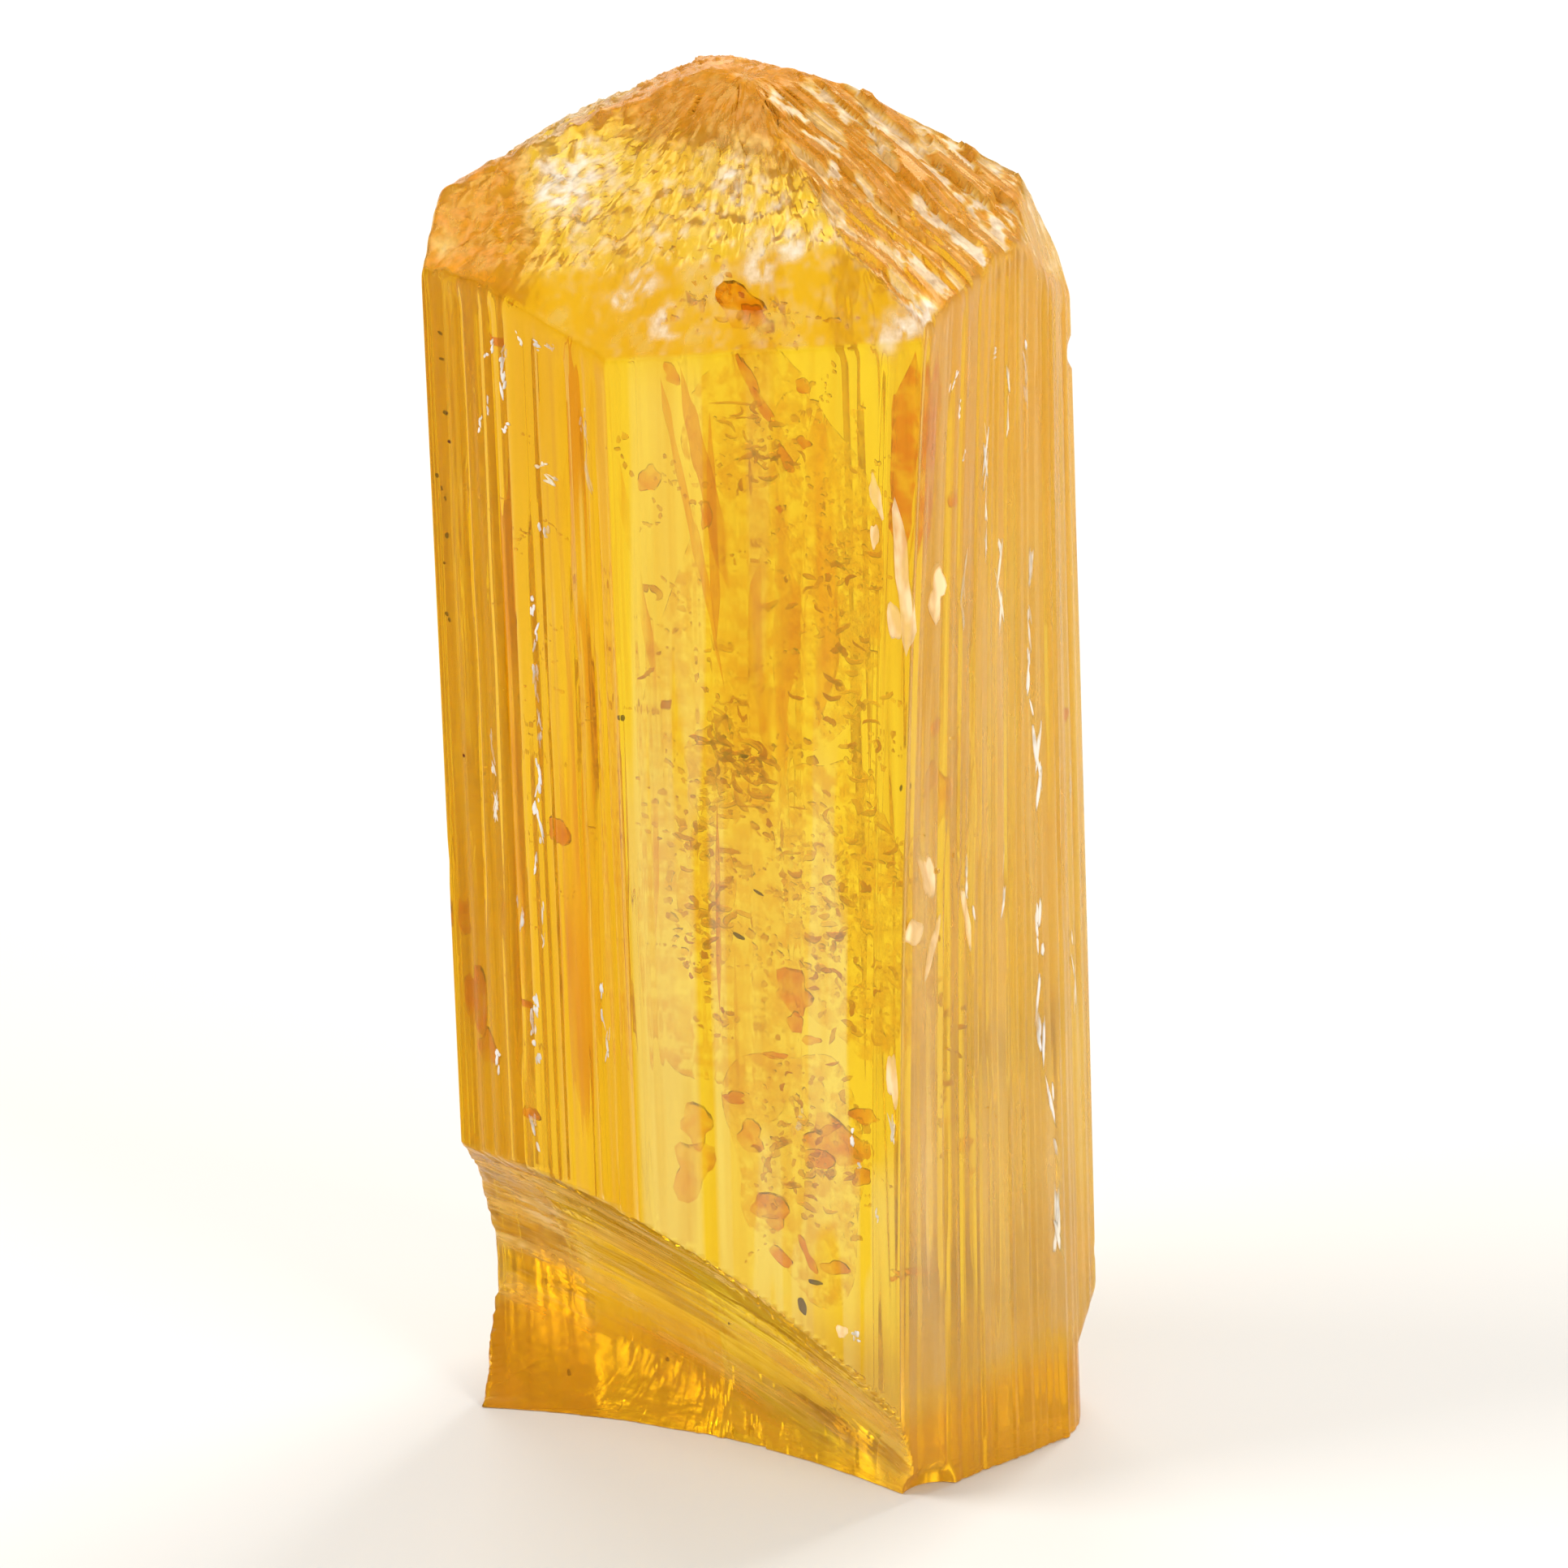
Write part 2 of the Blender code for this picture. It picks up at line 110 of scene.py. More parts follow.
# Glints: painted highlights, white flakes seated on the skin for light glinting off ripples and cracks
GLINT = (
    (-5.73, -1.37, 27.97, 0.096, 0.51, 3, 0, 0), (-5.75, -1.34, 26.78, 0.12, 0.13, 0, 0, 0),
    (-4.95, -1.94, 24.41, 0.13, 0.26, -15, 0, 0), (-5.28, -1.69, 22.3, 0.077, 0.38, 4, 0, 0),
    (-5.23, -1.72, 21.46, 0.058, 0.32, 8, 0, 0), (-5.28, -1.68, 20.58, 0.096, 0.36, -4, 0, 0),
    (-5.26, -1.7, 19.69, 0.077, 0.47, 2, 0, 0), (-5.23, -1.72, 18.91, 0.077, 0.3, 5, 0, 0),
    (-5.31, -1.66, 17.97, 0.077, 0.6, -3, 0, 0), (-5.38, -1.61, 17.16, 0.077, 0.38, 6, 0, 0),
    (-5.33, -1.64, 16.38, 0.096, 0.51, -5, 0, 0), (-5.46, -1.55, 15.53, 0.058, 0.34, 0, 0, 0),
    (-5.84, -1.26, 13.95, 0.096, 0.32, 0, 0, 0), (-5.98, -1.15, 14.29, 0.058, 0.17, 0, 0, 0),
    (-5.35, -1.62, 13.85, 0.038, 0.55, 0, 0, 0), (-6.13, -1.06, 27.21, 0.058, 0.26, 0, 0, 0),
    (-6.35, -0.9, 26.64, 0.058, 0.19, 8, 0, 0), (-6.57, -0.7, 9.79, 0.077, 0.3, 0, 0, 0),
    (-5.62, -1.42, 11.79, 0.12, 0.32, 0, 0, 0), (-5.7, -1.35, 11.02, 0.096, 0.43, 6, 0, 0),
    (-5.61, -1.42, 10.32, 0.12, 0.3, -8, 0, 0), (-5.73, -1.33, 8.21, 0.12, 0.38, -6, 0, 0),
    (-6.41, -0.83, 18, 0.058, 0.55, 0, 0.4, 0), (-6.4, -0.84, 16.83, 0.058, 0.64, 0, 0.4, 0),
    (-4.02, -2.62, 12.14, 0.058, 0.55, -4, 0, 0), (-3.96, -2.65, 10.98, 0.077, 0.43, 4, 0, 0),
    (-3.88, -2.74, 26.64, 0.13, 0.73, -3, 0.5, 0), (-3.93, -2.71, 27.47, 0.077, 0.34, 0, 0.4, 0),
    (-4.77, -2.08, 25.74, 0.27, 0.107, 20, 0.6, 0), (-4.95, -1.95, 26.06, 0.19, 0.085, -20, 0.6, 0),
    (-6.08, -1.1, 28.66, 0.077, 0.3, 25, 0, 0), (-5.74, -1.36, 28.59, 0.096, 0.34, 15, 0, 0),
    (-4.92, -1.97, 29.12, 0.15, 0.107, 20, 0, 0), (-4.58, -2.22, 29.2, 0.19, 0.085, 25, 0, 0),
    (-5.34, -1.66, 29.18, 0.077, 0.19, -20, 0.4, 0), (5.55, -3.6, 26.66, 0.058, 0.98, 0, 0.3, 2),
    (5.51, -3.55, 24.64, 0.058, 1.11, 0, 0.3, 2), (6.54, -2.17, 28.04, 0.096, 0.73, 0, 0, 2),
    (6.47, -2.2, 22.11, 0.12, 0.94, 0, 0.2, 2), (6.4, -2.29, 20.19, 0.096, 0.85, 0, 0.2, 2),
    (6.54, -2.13, 17.87, 0.13, 1.07, 0, 0.2, 2), (6.41, -2.32, 11.55, 0.13, 1.15, 0, 0, 2),
    (6.45, -2.26, 13.46, 0.12, 0.64, 0, 0.3, 2), (6.61, -2.17, 8.35, 0.13, 1.19, 0, 0.1, 2),
    (6.62, -2.19, 6.09, 0.12, 1.19, 0, 0.3, 2), (5.65, -3.1, 15.19, 0.058, 0.77, 3, 0.2, 2),
    (4.85, -3.97, 15.43, 0.077, 0.73, -6, 0.3, 2), (4.9, -4.8, 29.13, 0.058, 0.3, 30, 0, 2),
    (5.01, -4.53, 28.27, 0.058, 0.21, 20, 0, 2), (5.86, -3.27, 29.07, 0.12, 0.13, 0, 0, 2),
    (5.05, -4.36, 26.99, 0.058, 0.17, 10, 0, 2), (6.13, -2.78, 27.72, 0.058, 0.85, 0, 0.4, 2),
    (5.79, -3.13, 23.47, 0.077, 1.28, 0, 0.5, 2), (4.9, -4.26, 22.79, 0.077, 1.07, 0, 0.5, 2),
    (7.29, -0.71, 16.73, 0.077, 0.47, 0, 0.2, 3), (7.24, -0.88, 11.66, 0.058, 1.07, 0, 0.4, 3),
    (1.96, -5.27, 9.03, 0.096, 0.13, 0, 0, 1), (1.79, -5.21, 9.76, 0.077, 0.19, 0, 0, 1),
    (2.75, -5.59, 9.91, 0.077, 0.47, 0, 0.2, 1), (2.3, -5.41, 7.69, 0.058, 0.17, 0, 0, 1),
    (0.56, -4.71, 10.03, 0.096, 0.26, 10, 0.5, 1), (1.72, -5.16, 4.4, 0.12, 0.19, 0, 0, 1),
)
SPECK = (
    (0.59, -3.85, 4.79, 0.096, 0.23, -8, 0, 1), (0.01, -1.7, 18.68, 0.15, 0.064, -30, 0, 1),
    (-7.16, -0.15, 28.72, 0.077, 0.043, 40, 0, 0), (-7.15, -0.15, 28.05, 0.077, 0.043, 0, 0, 0),
    (-7.12, -0.17, 26.66, 0.077, 0.064, 0, 0, 0), (-7.06, -0.21, 25.92, 0.058, 0.043, 0, 0, 0),
    (-7.38, 0.03, 24.96, 0.058, 0.064, 0, 0, 0), (-7.28, -0.05, 24.65, 0.038, 0.064, 0, 0, 0),
    (-7.21, -0.09, 23.44, 0.058, 0.085, 0, 0, 0), (-7.3, -0.03, 22.69, 0.038, 0.043, 0, 0, 0),
    (-7.29, -0.03, 21.36, 0.058, 0.064, 0, 0, 0), (-7.24, -0.07, 21.22, 0.038, 0.064, 0, 0, 0),
    (-7.04, -0.22, 17.71, 0.038, 0.043, 0, 0, 0), (-7.21, -0.1, 24.4, 0.038, 0.064, 0, 0, 0),
    (0.01, -3.21, 15.52, 0.13, 0.043, 30, 0, 1), (-0.34, -1.98, 14.01, 0.17, 0.064, 30, 0, 1),
    (3.37, -5.1, 18.94, 0.058, 0.085, 30, 0, 2), (-1.26, -1.65, 3.14, 0.038, 0.043, 0, 0, 1),
    (0.97, -3.79, 5.42, 0.19, 0.064, 8, 0, 1), (1.29, -3.49, 9.35, 0.058, 0.064, 0, 0, 1),
    (0.13, -3.03, 9, 0.038, 0.043, 0, 0, 1), (-2.78, -0.37, 1.56, 0.058, 0.064, 0, 0, 1),
    (-5.17, 0.54, 0.83, 0.058, 0.085, 0, 0, 0), (-3.22, -2.98, 19.91, 0.077, 0.085, 0, 0, 1),
)

# Whitened spots, mostly painted highlights on the bevels and the roof: x, y, z, radius, strength
GLEAMS = (
    (-2.88, -2.60, 30.56, 0.25, 0.9), (-2.36, -2.63, 31.00, 0.32, 0.9), (-1.89, -3.32, 30.22, 0.34, 0.9),
    (-0.37, -3.59, 31.22, 0.34, 0.9), (0.35, -3.67, 31.72, 0.38, 0.8), (1.14, -3.78, 32.29, 0.34, 0.9),
    (3.31, -5.82, 30.64, 0.38, 0.8), (3.74, -5.84, 31.06, 0.34, 0.9), (4.24, -5.46, 31.40, 0.30, 0.9),
    (-4.32, -0.02, 32.39, 0.80, 0.9), (-3.60, 0.30, 33.00, 0.45, 0.6), (-6.95, 0.15, 30.81, 0.45, 0.8),
    (-4.65, 0.56, 2.14, 0.34, 0.5), (-4.62, 0.59, 2.76, 0.30, 0.4), (0.10, -1.40, 33.30, 0.90, 0.35),
)

# Growth ribbons and cracks: half width, shade, finish, side and the points along them
RIBBONS = (
    (0.13, 0.1, "band", 1, ((-3.02, -2.12, 26.99), (-2.88, -2.18, 25.71), (-2.71, -2.24, 24.58),
        (-2.4, -2.36, 22.15), (-2.31, -2.4, 20.97))),
    (0.10, 0.0, "band", 1, ((-1.88, -2.73, 28.76), (-1.74, -2.78, 27.82), (-1.54, -2.86, 26.48),
        (-1.37, -2.93, 25.56), (-0.96, -3.09, 23.32), (-0.65, -3.22, 20.81))),
    (0.2, 0.35, "band", 1, ((-1.41, -3.02, 29.09), (-1.2, -3.1, 27.71), (-0.87, -3.23, 26.09),
        (-0.59, -3.34, 24.44), (-0.37, -3.43, 23.21))),
    (0.06, 0.1, "band", 1, ((-2.3, -2.69, 22.51), (-2.34, -2.67, 19.53), (-2.43, -2.63, 16.33),
        (-2.55, -2.58, 13.2))),
    (0.03, 0.3, "crumb", 0, ((-3.12, -2.63, 19.92), (-3.17, -2.59, 17.36), (-3.22, -2.55, 14.14),
        (-3.14, -2.58, 10.92))),
    (0.07, 0.5, "band", 1, ((-0.94, -3.24, 17.94), (-1.01, -3.21, 15.48), (-1.09, -3.17, 12.25))),
    (0.05, 0.6, "band", 1, ((-0.69, -3.38, 13.93), (-0.71, -3.37, 11.69), (-0.76, -3.34, 9.53))),
    (0.1, 0.3, "band", 1, ((-0.76, -3.23, 28.06), (-0.79, -3.21, 25.24), (-0.78, -3.21, 22.08))),
    (0.035, 0.05, "stain", 2, ((4.22, -4.81, 26.72), (3.85, -5.21, 25.45), (3.55, -5.44, 23.9), (3.36, -5.4, 20.93))),
    (0.05, 0.2, "crumb", 1, ((0.11, -3.68, 27.08), (0.13, -3.69, 25.99))),
    (0.04, 0.2, "crumb", 1, ((0.53, -3.93, 17.7), (0.52, -3.92, 16.9))),
    (0.03, 0, "speck", 0, ((-5.49, -1.03, 21.88), (-5.53, -1, 20.76))),
    (0.03, 0.3, "crumb", 1, ((-0.79, -3.22, 28.25), (-0.26, -3.43, 28.35), (0.31, -3.67, 28.37))),
    (0.025, 0.3, "crumb", 1, ((-0.37, -3.39, 27.93), (0.14, -3.6, 28.03))),
    (0.025, 0.3, "crumb", 1, ((-0.5, -3.46, 17.85), (0.12, -3.71, 17.93))),
    (0.025, 0.3, "crumb", 1, ((0.69, -3.99, 18.04), (1.19, -4.19, 18.03))),
    (0.05, 0, "crumb", 1, ((-2.66, -2.4, 20.75), (-2.4, -2.5, 21), (-2.28, -2.55, 21.15))),
    (0.05, 0.6, "crumb", 1, ((2.27, -4.73, 20.61), (2.62, -4.87, 21.15), (2.99, -5.03, 21))),
    (0.34, 0.85, "stain", 1, ((4.15, -4.92, 30.2), (3.93, -4.83, 28.38), (3.74, -4.74, 26.47), (3.58, -4.68, 24.55))),
    (0.5, 0.12, "band", 1, ((0.99, -2.91, 27.77), (0.79, -2.82, 23.93), (0.58, -2.73, 20.5), (0.74, -2.79, 17.98))),
    (0.42, 0.05, "band", 1, ((1.95, -3.37, 28.53), (1.92, -3.35, 24.11), (1.67, -3.24, 19.94))),
    (0.45, 0.2, "band", 0, ((-3.82, -1.29, 29.2), (-3.98, -1.17, 23.19), (-4.06, -1.1, 18.92),
        (-4.14, -1.03, 13.55), (-4.21, -0.97, 8))),
    (0.22, 0.5, "band", 0, ((-5.55, -0.88, 26.72), (-5.69, -0.77, 20.8), (-5.82, -0.66, 14.35),
        (-5.94, -0.56, 7.73))),
)

# Crumbly veils: middle, spread along, up and in, how many flakes, flake sizes, shades, side
VEILS = (
    ((-0.52, -3.27, 19.03), (0.85, 0.85, 0.3), 72, (0.08, 0.24), (0, 0.5), 1),
    ((-1.39, -3, 16.68), (0.35, 1.1, 0.3), 36, (0.06, 0.2), (0.1, 0.7), 1),
    ((-1.22, -3.12, 14.91), (0.75, 0.65, 0.3), 40, (0.08, 0.22), (0.1, 0.8), 1),
    ((-1.31, -3.1, 13.94), (0.22, 0.3, 0.2), 12, (0.05, 0.14), (0.1, 0.6), 1),
    ((-0.88, -3.3, 12.13), (0.22, 0.3, 0.2), 12, (0.06, 0.14), (0, 0.5), 1),
    ((-1.76, -2.95, 13.4), (0.25, 0.2, 0.1), 8, (0.03, 0.06), (0, 0.3), 1),
    ((-2.2, -2.45, 25.95), (0.32, 0.5, 0.3), 24, (0.06, 0.16), (0.2, 0.7), 1),
    ((0.44, -3.77, 27.34), (0.75, 1.2, 0.3), 56, (0.05, 0.16), (0.4, 1), 1),
    ((1.97, -4.24, 24.37), (1.35, 3.8, 0.3), 300, (0.05, 0.15), (0.5, 1), 1),
    ((1.88, -4.28, 15.69), (1.6, 3.6, 0.3), 330, (0.05, 0.16), (0.4, 1), 1),
    ((0.75, -3.95, 8.48), (1.5, 2.2, 0.3), 150, (0.05, 0.17), (0.3, 0.9), 1),
    ((-0.14, -3.82, 30.89), (1.4, 0.6, 0.3), 60, (0.05, 0.18), (0.3, 0.9), 1),
    ((-5.33, -0.95, 18.76), (1.4, 8.5, 0.3), 160, (0.03, 0.1), (0.4, 1), 0),
    ((4.9, -3.6, 17), (1.1, 8, 0.3), 110, (0.03, 0.09), (0.5, 1), 2),
    ((0.4, 3.4, 17), (1.8, 7, 0.6), 200, (0.05, 0.16), (0.3, 1), 5),
    ((-4.6, 2.6, 14), (1, 6, 0.5), 90, (0.05, 0.14), (0.3, 1), 6),
    ((5, 0.6, 14), (0.8, 6, 0.5), 90, (0.05, 0.14), (0.3, 1), 4),
)

# Curls: middle, spread along, up and in, how many, length, side
CURLS = (
    ((-0.52, -3.27, 19.03), (0.8, 0.85, 0.25), 30, 1.3, 1),
    ((-1.39, -3, 16.68), (0.35, 1.1, 0.2), 18, 0.8, 1),
    ((-1.22, -3.12, 14.91), (0.7, 0.6, 0.25), 20, 0.9, 1),
    ((-1.31, -3.1, 13.94), (0.25, 0.3, 0.2), 6, 0.6, 1),
    ((-0.88, -3.3, 12.13), (0.2, 0.3, 0.2), 6, 0.6, 1),
    ((-1.76, -2.95, 13.4), (0.25, 0.15, 0.1), 3, 0.5, 1),
    ((0.44, -3.77, 27.34), (0.9, 1.2, 0.25), 26, 0.9, 1),
    ((1.88, -4.3, 22.03), (1.3, 5, 0.25), 46, 0.8, 1),
    ((1.9, -4.34, 14.5), (1.6, 3.6, 0.25), 52, 0.8, 1),
    ((0.96, -4.03, 8.62), (1.6, 2.2, 0.25), 34, 0.8, 1),
    ((3.97, -4.19, 13.06), (0.6, 4.5, 0.25), 30, 0.6, 2),
    ((-0.14, -3.82, 30.89), (1.4, 0.6, 0.25), 16, 0.6, 1),
    ((0.4, 3.4, 17), (1.8, 7, 0.6), 40, 0.9, 5),
)

# Crumpled veils: middle, half width, half height, lean, side
CRUMPLES = (
    ((1.84, -3.63, 24.03), 1.45, 4.6, 2, 1),
    ((2.18, -3.87, 15.36), 1.7, 4.2, -4, 1),
    ((0.77, -3.5, 8.43), 1.9, 3, 6, 1),
    ((0.17, -3.3, 27.82), 1.8, 1.6, 10, 1),
    ((-0.83, -2.6, 18.4), 0.9, 1.2, 20, 1),
    ((-1.14, -2.59, 15.13), 0.7, 1.9, 0, 1),
    ((0.2, 3.2, 16), 2.2, 8, 0, 5),
)


# Numpy helpers


def smoothstep(low: float, high: float, x: np.ndarray) -> np.ndarray:
    """Smooth ramp from 0 at low to 1 at high, which may be below it: 3t^2 - 2t^3 of the clamped share t."""
    t = np.clip((x - low) / (high - low), 0.0, 1.0)
    return t * t * (3.0 - 2.0 * t)


def lattice(cells: np.ndarray, seed: int) -> np.ndarray:
    """Repeatable random number from 0 to 1 for each whole-number cell.

    Args:
        cells: Whole numbers, with the cell's coordinates on the last axis.
        seed: Number that makes this set of values its own.

    Returns:
        One value for each cell, from an integer hash of its coordinates.
    """
    h = np.full(cells.shape[:-1], np.uint32(seed * 374761393 % 4294967296), np.uint32)
    for axis in range(cells.shape[-1]):
        h = h ^ (cells[..., axis].astype(np.int64) % 4294967296).astype(np.uint32) * np.uint32(2654435761)
        h = (h ^ (h >> np.uint32(15))) * np.uint32(2246822519)
        h = (h ^ (h >> np.uint32(13))) * np.uint32(3266489917)
    return (h ^ (h >> np.uint32(16))).astype(np.float64) / 4294967295.0


def value_noise(points: np.ndarray, seed: int) -> np.ndarray:
    """Smooth noise from -1 to 1: lattice values blended by smooth shares between the cell's corners.

    Args:
        points: Coordinates on the last axis, two or three of them.
        seed: Number that makes this noise its own.

    Returns:
        One value for each point.
    """
    base = np.floor(points).astype(np.int64)
    f = points - base
    f = f * f * (3.0 - 2.0 * f)
    axes = points.shape[-1]
    total = np.zeros(points.shape[:-1])
    for corner in range(2**axes):
        step = np.array([(corner >> a) & 1 for a in range(axes)])
        weight = np.prod(np.where(step == 1, f, 1.0 - f), axis=-1)
        total += weight * lattice(base + step, seed)
    return 2.0 * total - 1.0


def layered_noise(points: np.ndarray, seed: int, layers: int = 3, fall: float = 0.5) -> np.ndarray:
    """Sum of value noises, each twice as fine and fall times as strong as the one before.

    Args:
        points: Coordinates on the last axis.
        seed: Seed of the first layer.
        layers: How many layers.
        fall: Strength of each layer against the one before.

    Returns:
        The sum, scaled back to about -1 to 1.
    """
    total, strength, reach = np.zeros(points.shape[:-1]), 1.0, 0.0
    for layer in range(layers):
        total += strength * value_noise(points * 2.0**layer, seed + 17 * layer)
        reach += strength
        strength *= fall
    return total / reach


def stacked(*parts: np.ndarray | float) -> np.ndarray:
    """Coordinates side by side on a new last axis, each spread over the shape that they share."""
    return np.stack(np.broadcast_arrays(*parts), -1)


def unit(vectors: np.ndarray) -> np.ndarray:
    """Vectors of the same directions, of length one."""
    return vectors / np.linalg.norm(vectors, axis=1)[:, None]


def smoothed(points: np.ndarray) -> np.ndarray:
    """Rows of points with each inner row averaged with its neighbours, as a quarter, a half and a quarter."""
    mean = points.copy()
    mean[1:-1] = 0.25 * points[:-2] + 0.5 * points[1:-1] + 0.25 * points[2:]
    return mean


def nearer_root(a: np.ndarray | float, b: np.ndarray, c: np.ndarray) -> np.ndarray:
    """Nearer root of a r^2 + 2 b r + c = 0, or a very large number where there is none above zero."""
    root = b * b - a * c
    near = (-b - np.sqrt(np.maximum(root, 0.0))) / a
    return np.where((root > 0.0) & (near > 0.0), near, FAR)


def soft_min(values: list[np.ndarray], radius: float) -> np.ndarray:
    """The least of several surfaces, with the corners between them rounded.

    Args:
        values: Arrays of one shape.
        radius: About how far the rounding reaches.

    Returns:
        -radius * log(sum(exp(-value / radius))).
    """
    total = -values[0] / radius
    for value in values[1:]:
        total = np.logaddexp(total, -value / radius)
    return -radius * total


def cell_faces(points: np.ndarray, seed: int) -> np.ndarray:
    """Small tilted faces: the plane of the nearest of scattered seeds, one seed in each unit cell.

    Args:
        points: (x, y) on the last axis, in cells.
        seed: Number that makes this pattern its own.

    Returns:
        The nearest seed's random level plus its random slope times the distance from it, about -1 to 1.
    """
    cell = np.floor(points).astype(np.int64)
    best = np.full(points.shape[:-1], FAR)
    value = np.zeros(points.shape[:-1])
    for step in np.ndindex(3, 3):
        near = cell + np.array(step) - 1
        centre = near + np.stack([lattice(near, seed), lattice(near, seed + 1)], -1)
        away = points - centre
        distance = (away**2).sum(-1)
        slope = np.stack([lattice(near, seed + 2), lattice(near, seed + 3)], -1) * 2.0 - 1.0
        face = 0.9 * (lattice(near, seed + 4) - 0.5) + (slope * away).sum(-1)
        value = np.where(distance < best, face, value)
        best = np.minimum(best, distance)
    return value


# The crystal's form


@dataclass(frozen=True)
class RoofFace:
    """One flat face of the top.

    Attributes:
        point: A point of the plane.
        dip: Degrees down from level.
        turn: Compass turn of its normal from +X, in degrees.
    """

    point: tuple[float, float, float]
    dip: float
    turn: float

    def normal(self) -> np.ndarray:
        """Outward unit normal."""
        level = math.sin(math.radians(self.dip))
        turn = math.radians(self.turn)
        return np.array([level * math.cos(turn), level * math.sin(turn), math.cos(math.radians(self.dip))])

    def height(self, x: np.ndarray, y: np.ndarray) -> np.ndarray:
        """Height of the plane over each point (x, y)."""
        n = self.normal()
        return self.point[2] - (n[0] * (x - self.point[0]) + n[1] * (y - self.point[1])) / n[2]


@dataclass
class Prism:
    """The eight-sided prism: its outline at three heights, joined by a parabola in height.

    Attributes:
        base: Corners at the base, starting at the left and going counter-clockwise from above.
        middle: Corners at middle_height.
        shoulder: Corners at shoulder_height.
        middle_height: Height of the second outline.
        shoulder_height: Height of the third outline.
        columns: How many grid columns each side has.
        axis: Where the rays that meet the surface start, seen from above.
    """

    base: tuple = (
        (-7.50, 0.00), (-3.27, -3.15), (2.62, -5.52), (6.72, -2.20),
        (7.46, -0.40), (3.55, 3.00), (-3.50, 5.55), (-6.98, 1.50),
    )
    middle: tuple = (
        (-7.52, 0.00), (-3.30, -3.16), (3.18, -5.78), (6.86, -1.80),
        (7.58, 0.00), (3.60, 3.05), (-3.58, 5.68), (-7.04, 1.45),
    )
    shoulder: tuple = (
        (-7.56, 0.00), (-3.32, -3.17), (4.15, -6.22), (7.14, -1.23),
        (7.64, 0.38), (3.65, 3.10), (-3.65, 5.80), (-7.10, 1.40),
    )
    middle_height: float = 15.4
    shoulder_height: float = 30.7
    columns: tuple[int, ...] = (92, 120, 104, 26, 46, 64, 48, 20)
    axis: tuple[float, float] = (0.2, 0.3)

    def corners(self, height: np.ndarray) -> np.ndarray:
        """Corners of the outline at each height.

        Args:
            height: Heights of any shape.

        Returns:
            That shape with two more axes, eight corners by (x, y).
        """
        m, s = self.middle_height, self.shoulder_height
        h = np.minimum(height, s)[..., None, None]
        a = (h - m) * (h - s) / (m * s)
        b = h * (h - s) / (m * (m - s))
        c = h * (h - m) / (s * (s - m))
        return a * np.array(self.base) + b * np.array(self.middle) + c * np.array(self.shoulder)

    def sides(self) -> np.ndarray:
        """Which side each column starts on."""
        return np.repeat(np.arange(len(self.columns)), self.columns)

    def shares(self) -> np.ndarray:
        """How far along its side each column stands, from 0 to under 1."""
        return np.concatenate([np.arange(n) / n for n in self.columns])

    def outline(self, height: np.ndarray) -> np.ndarray:
        """Point of the outline for each column at that column's heights.

        Args:
            height: Heights, one row of the grid after another, by columns.

        Returns:
            (x, y) of each, between the two corners of the column's side.
        """
        corners = self.corners(height)
        side, share = self.sides(), self.shares()[None, :, None]
        columns = np.arange(side.size)[None, :]
        rows = np.arange(height.shape[0])[:, None]
        start = corners[rows, columns, side[None, :]]
        end = corners[rows, columns, (side[None, :] + 1) % len(self.columns)]
        return start * (1.0 - share) + end * share

    def side_length(self) -> np.ndarray:
        """Length of the side that each column stands on, at mid height."""
        c = self.corners(np.array(self.middle_height))
        lengths = np.linalg.norm(np.roll(c, -1, axis=0) - c, axis=1)
        return lengths[self.sides()]

    def ways(self) -> np.ndarray:
        """Level unit direction of each side, from its start to its end, at mid height."""
        c = self.corners(np.array(self.middle_height))
        return unit(np.roll(c, -1, axis=0) - c)

    def outward(self) -> np.ndarray:
        """Level outward direction of each column's side, at mid height."""
        way = self.ways()
        return np.stack([way[:, 1], -way[:, 0]], axis=1)[self.sides()]


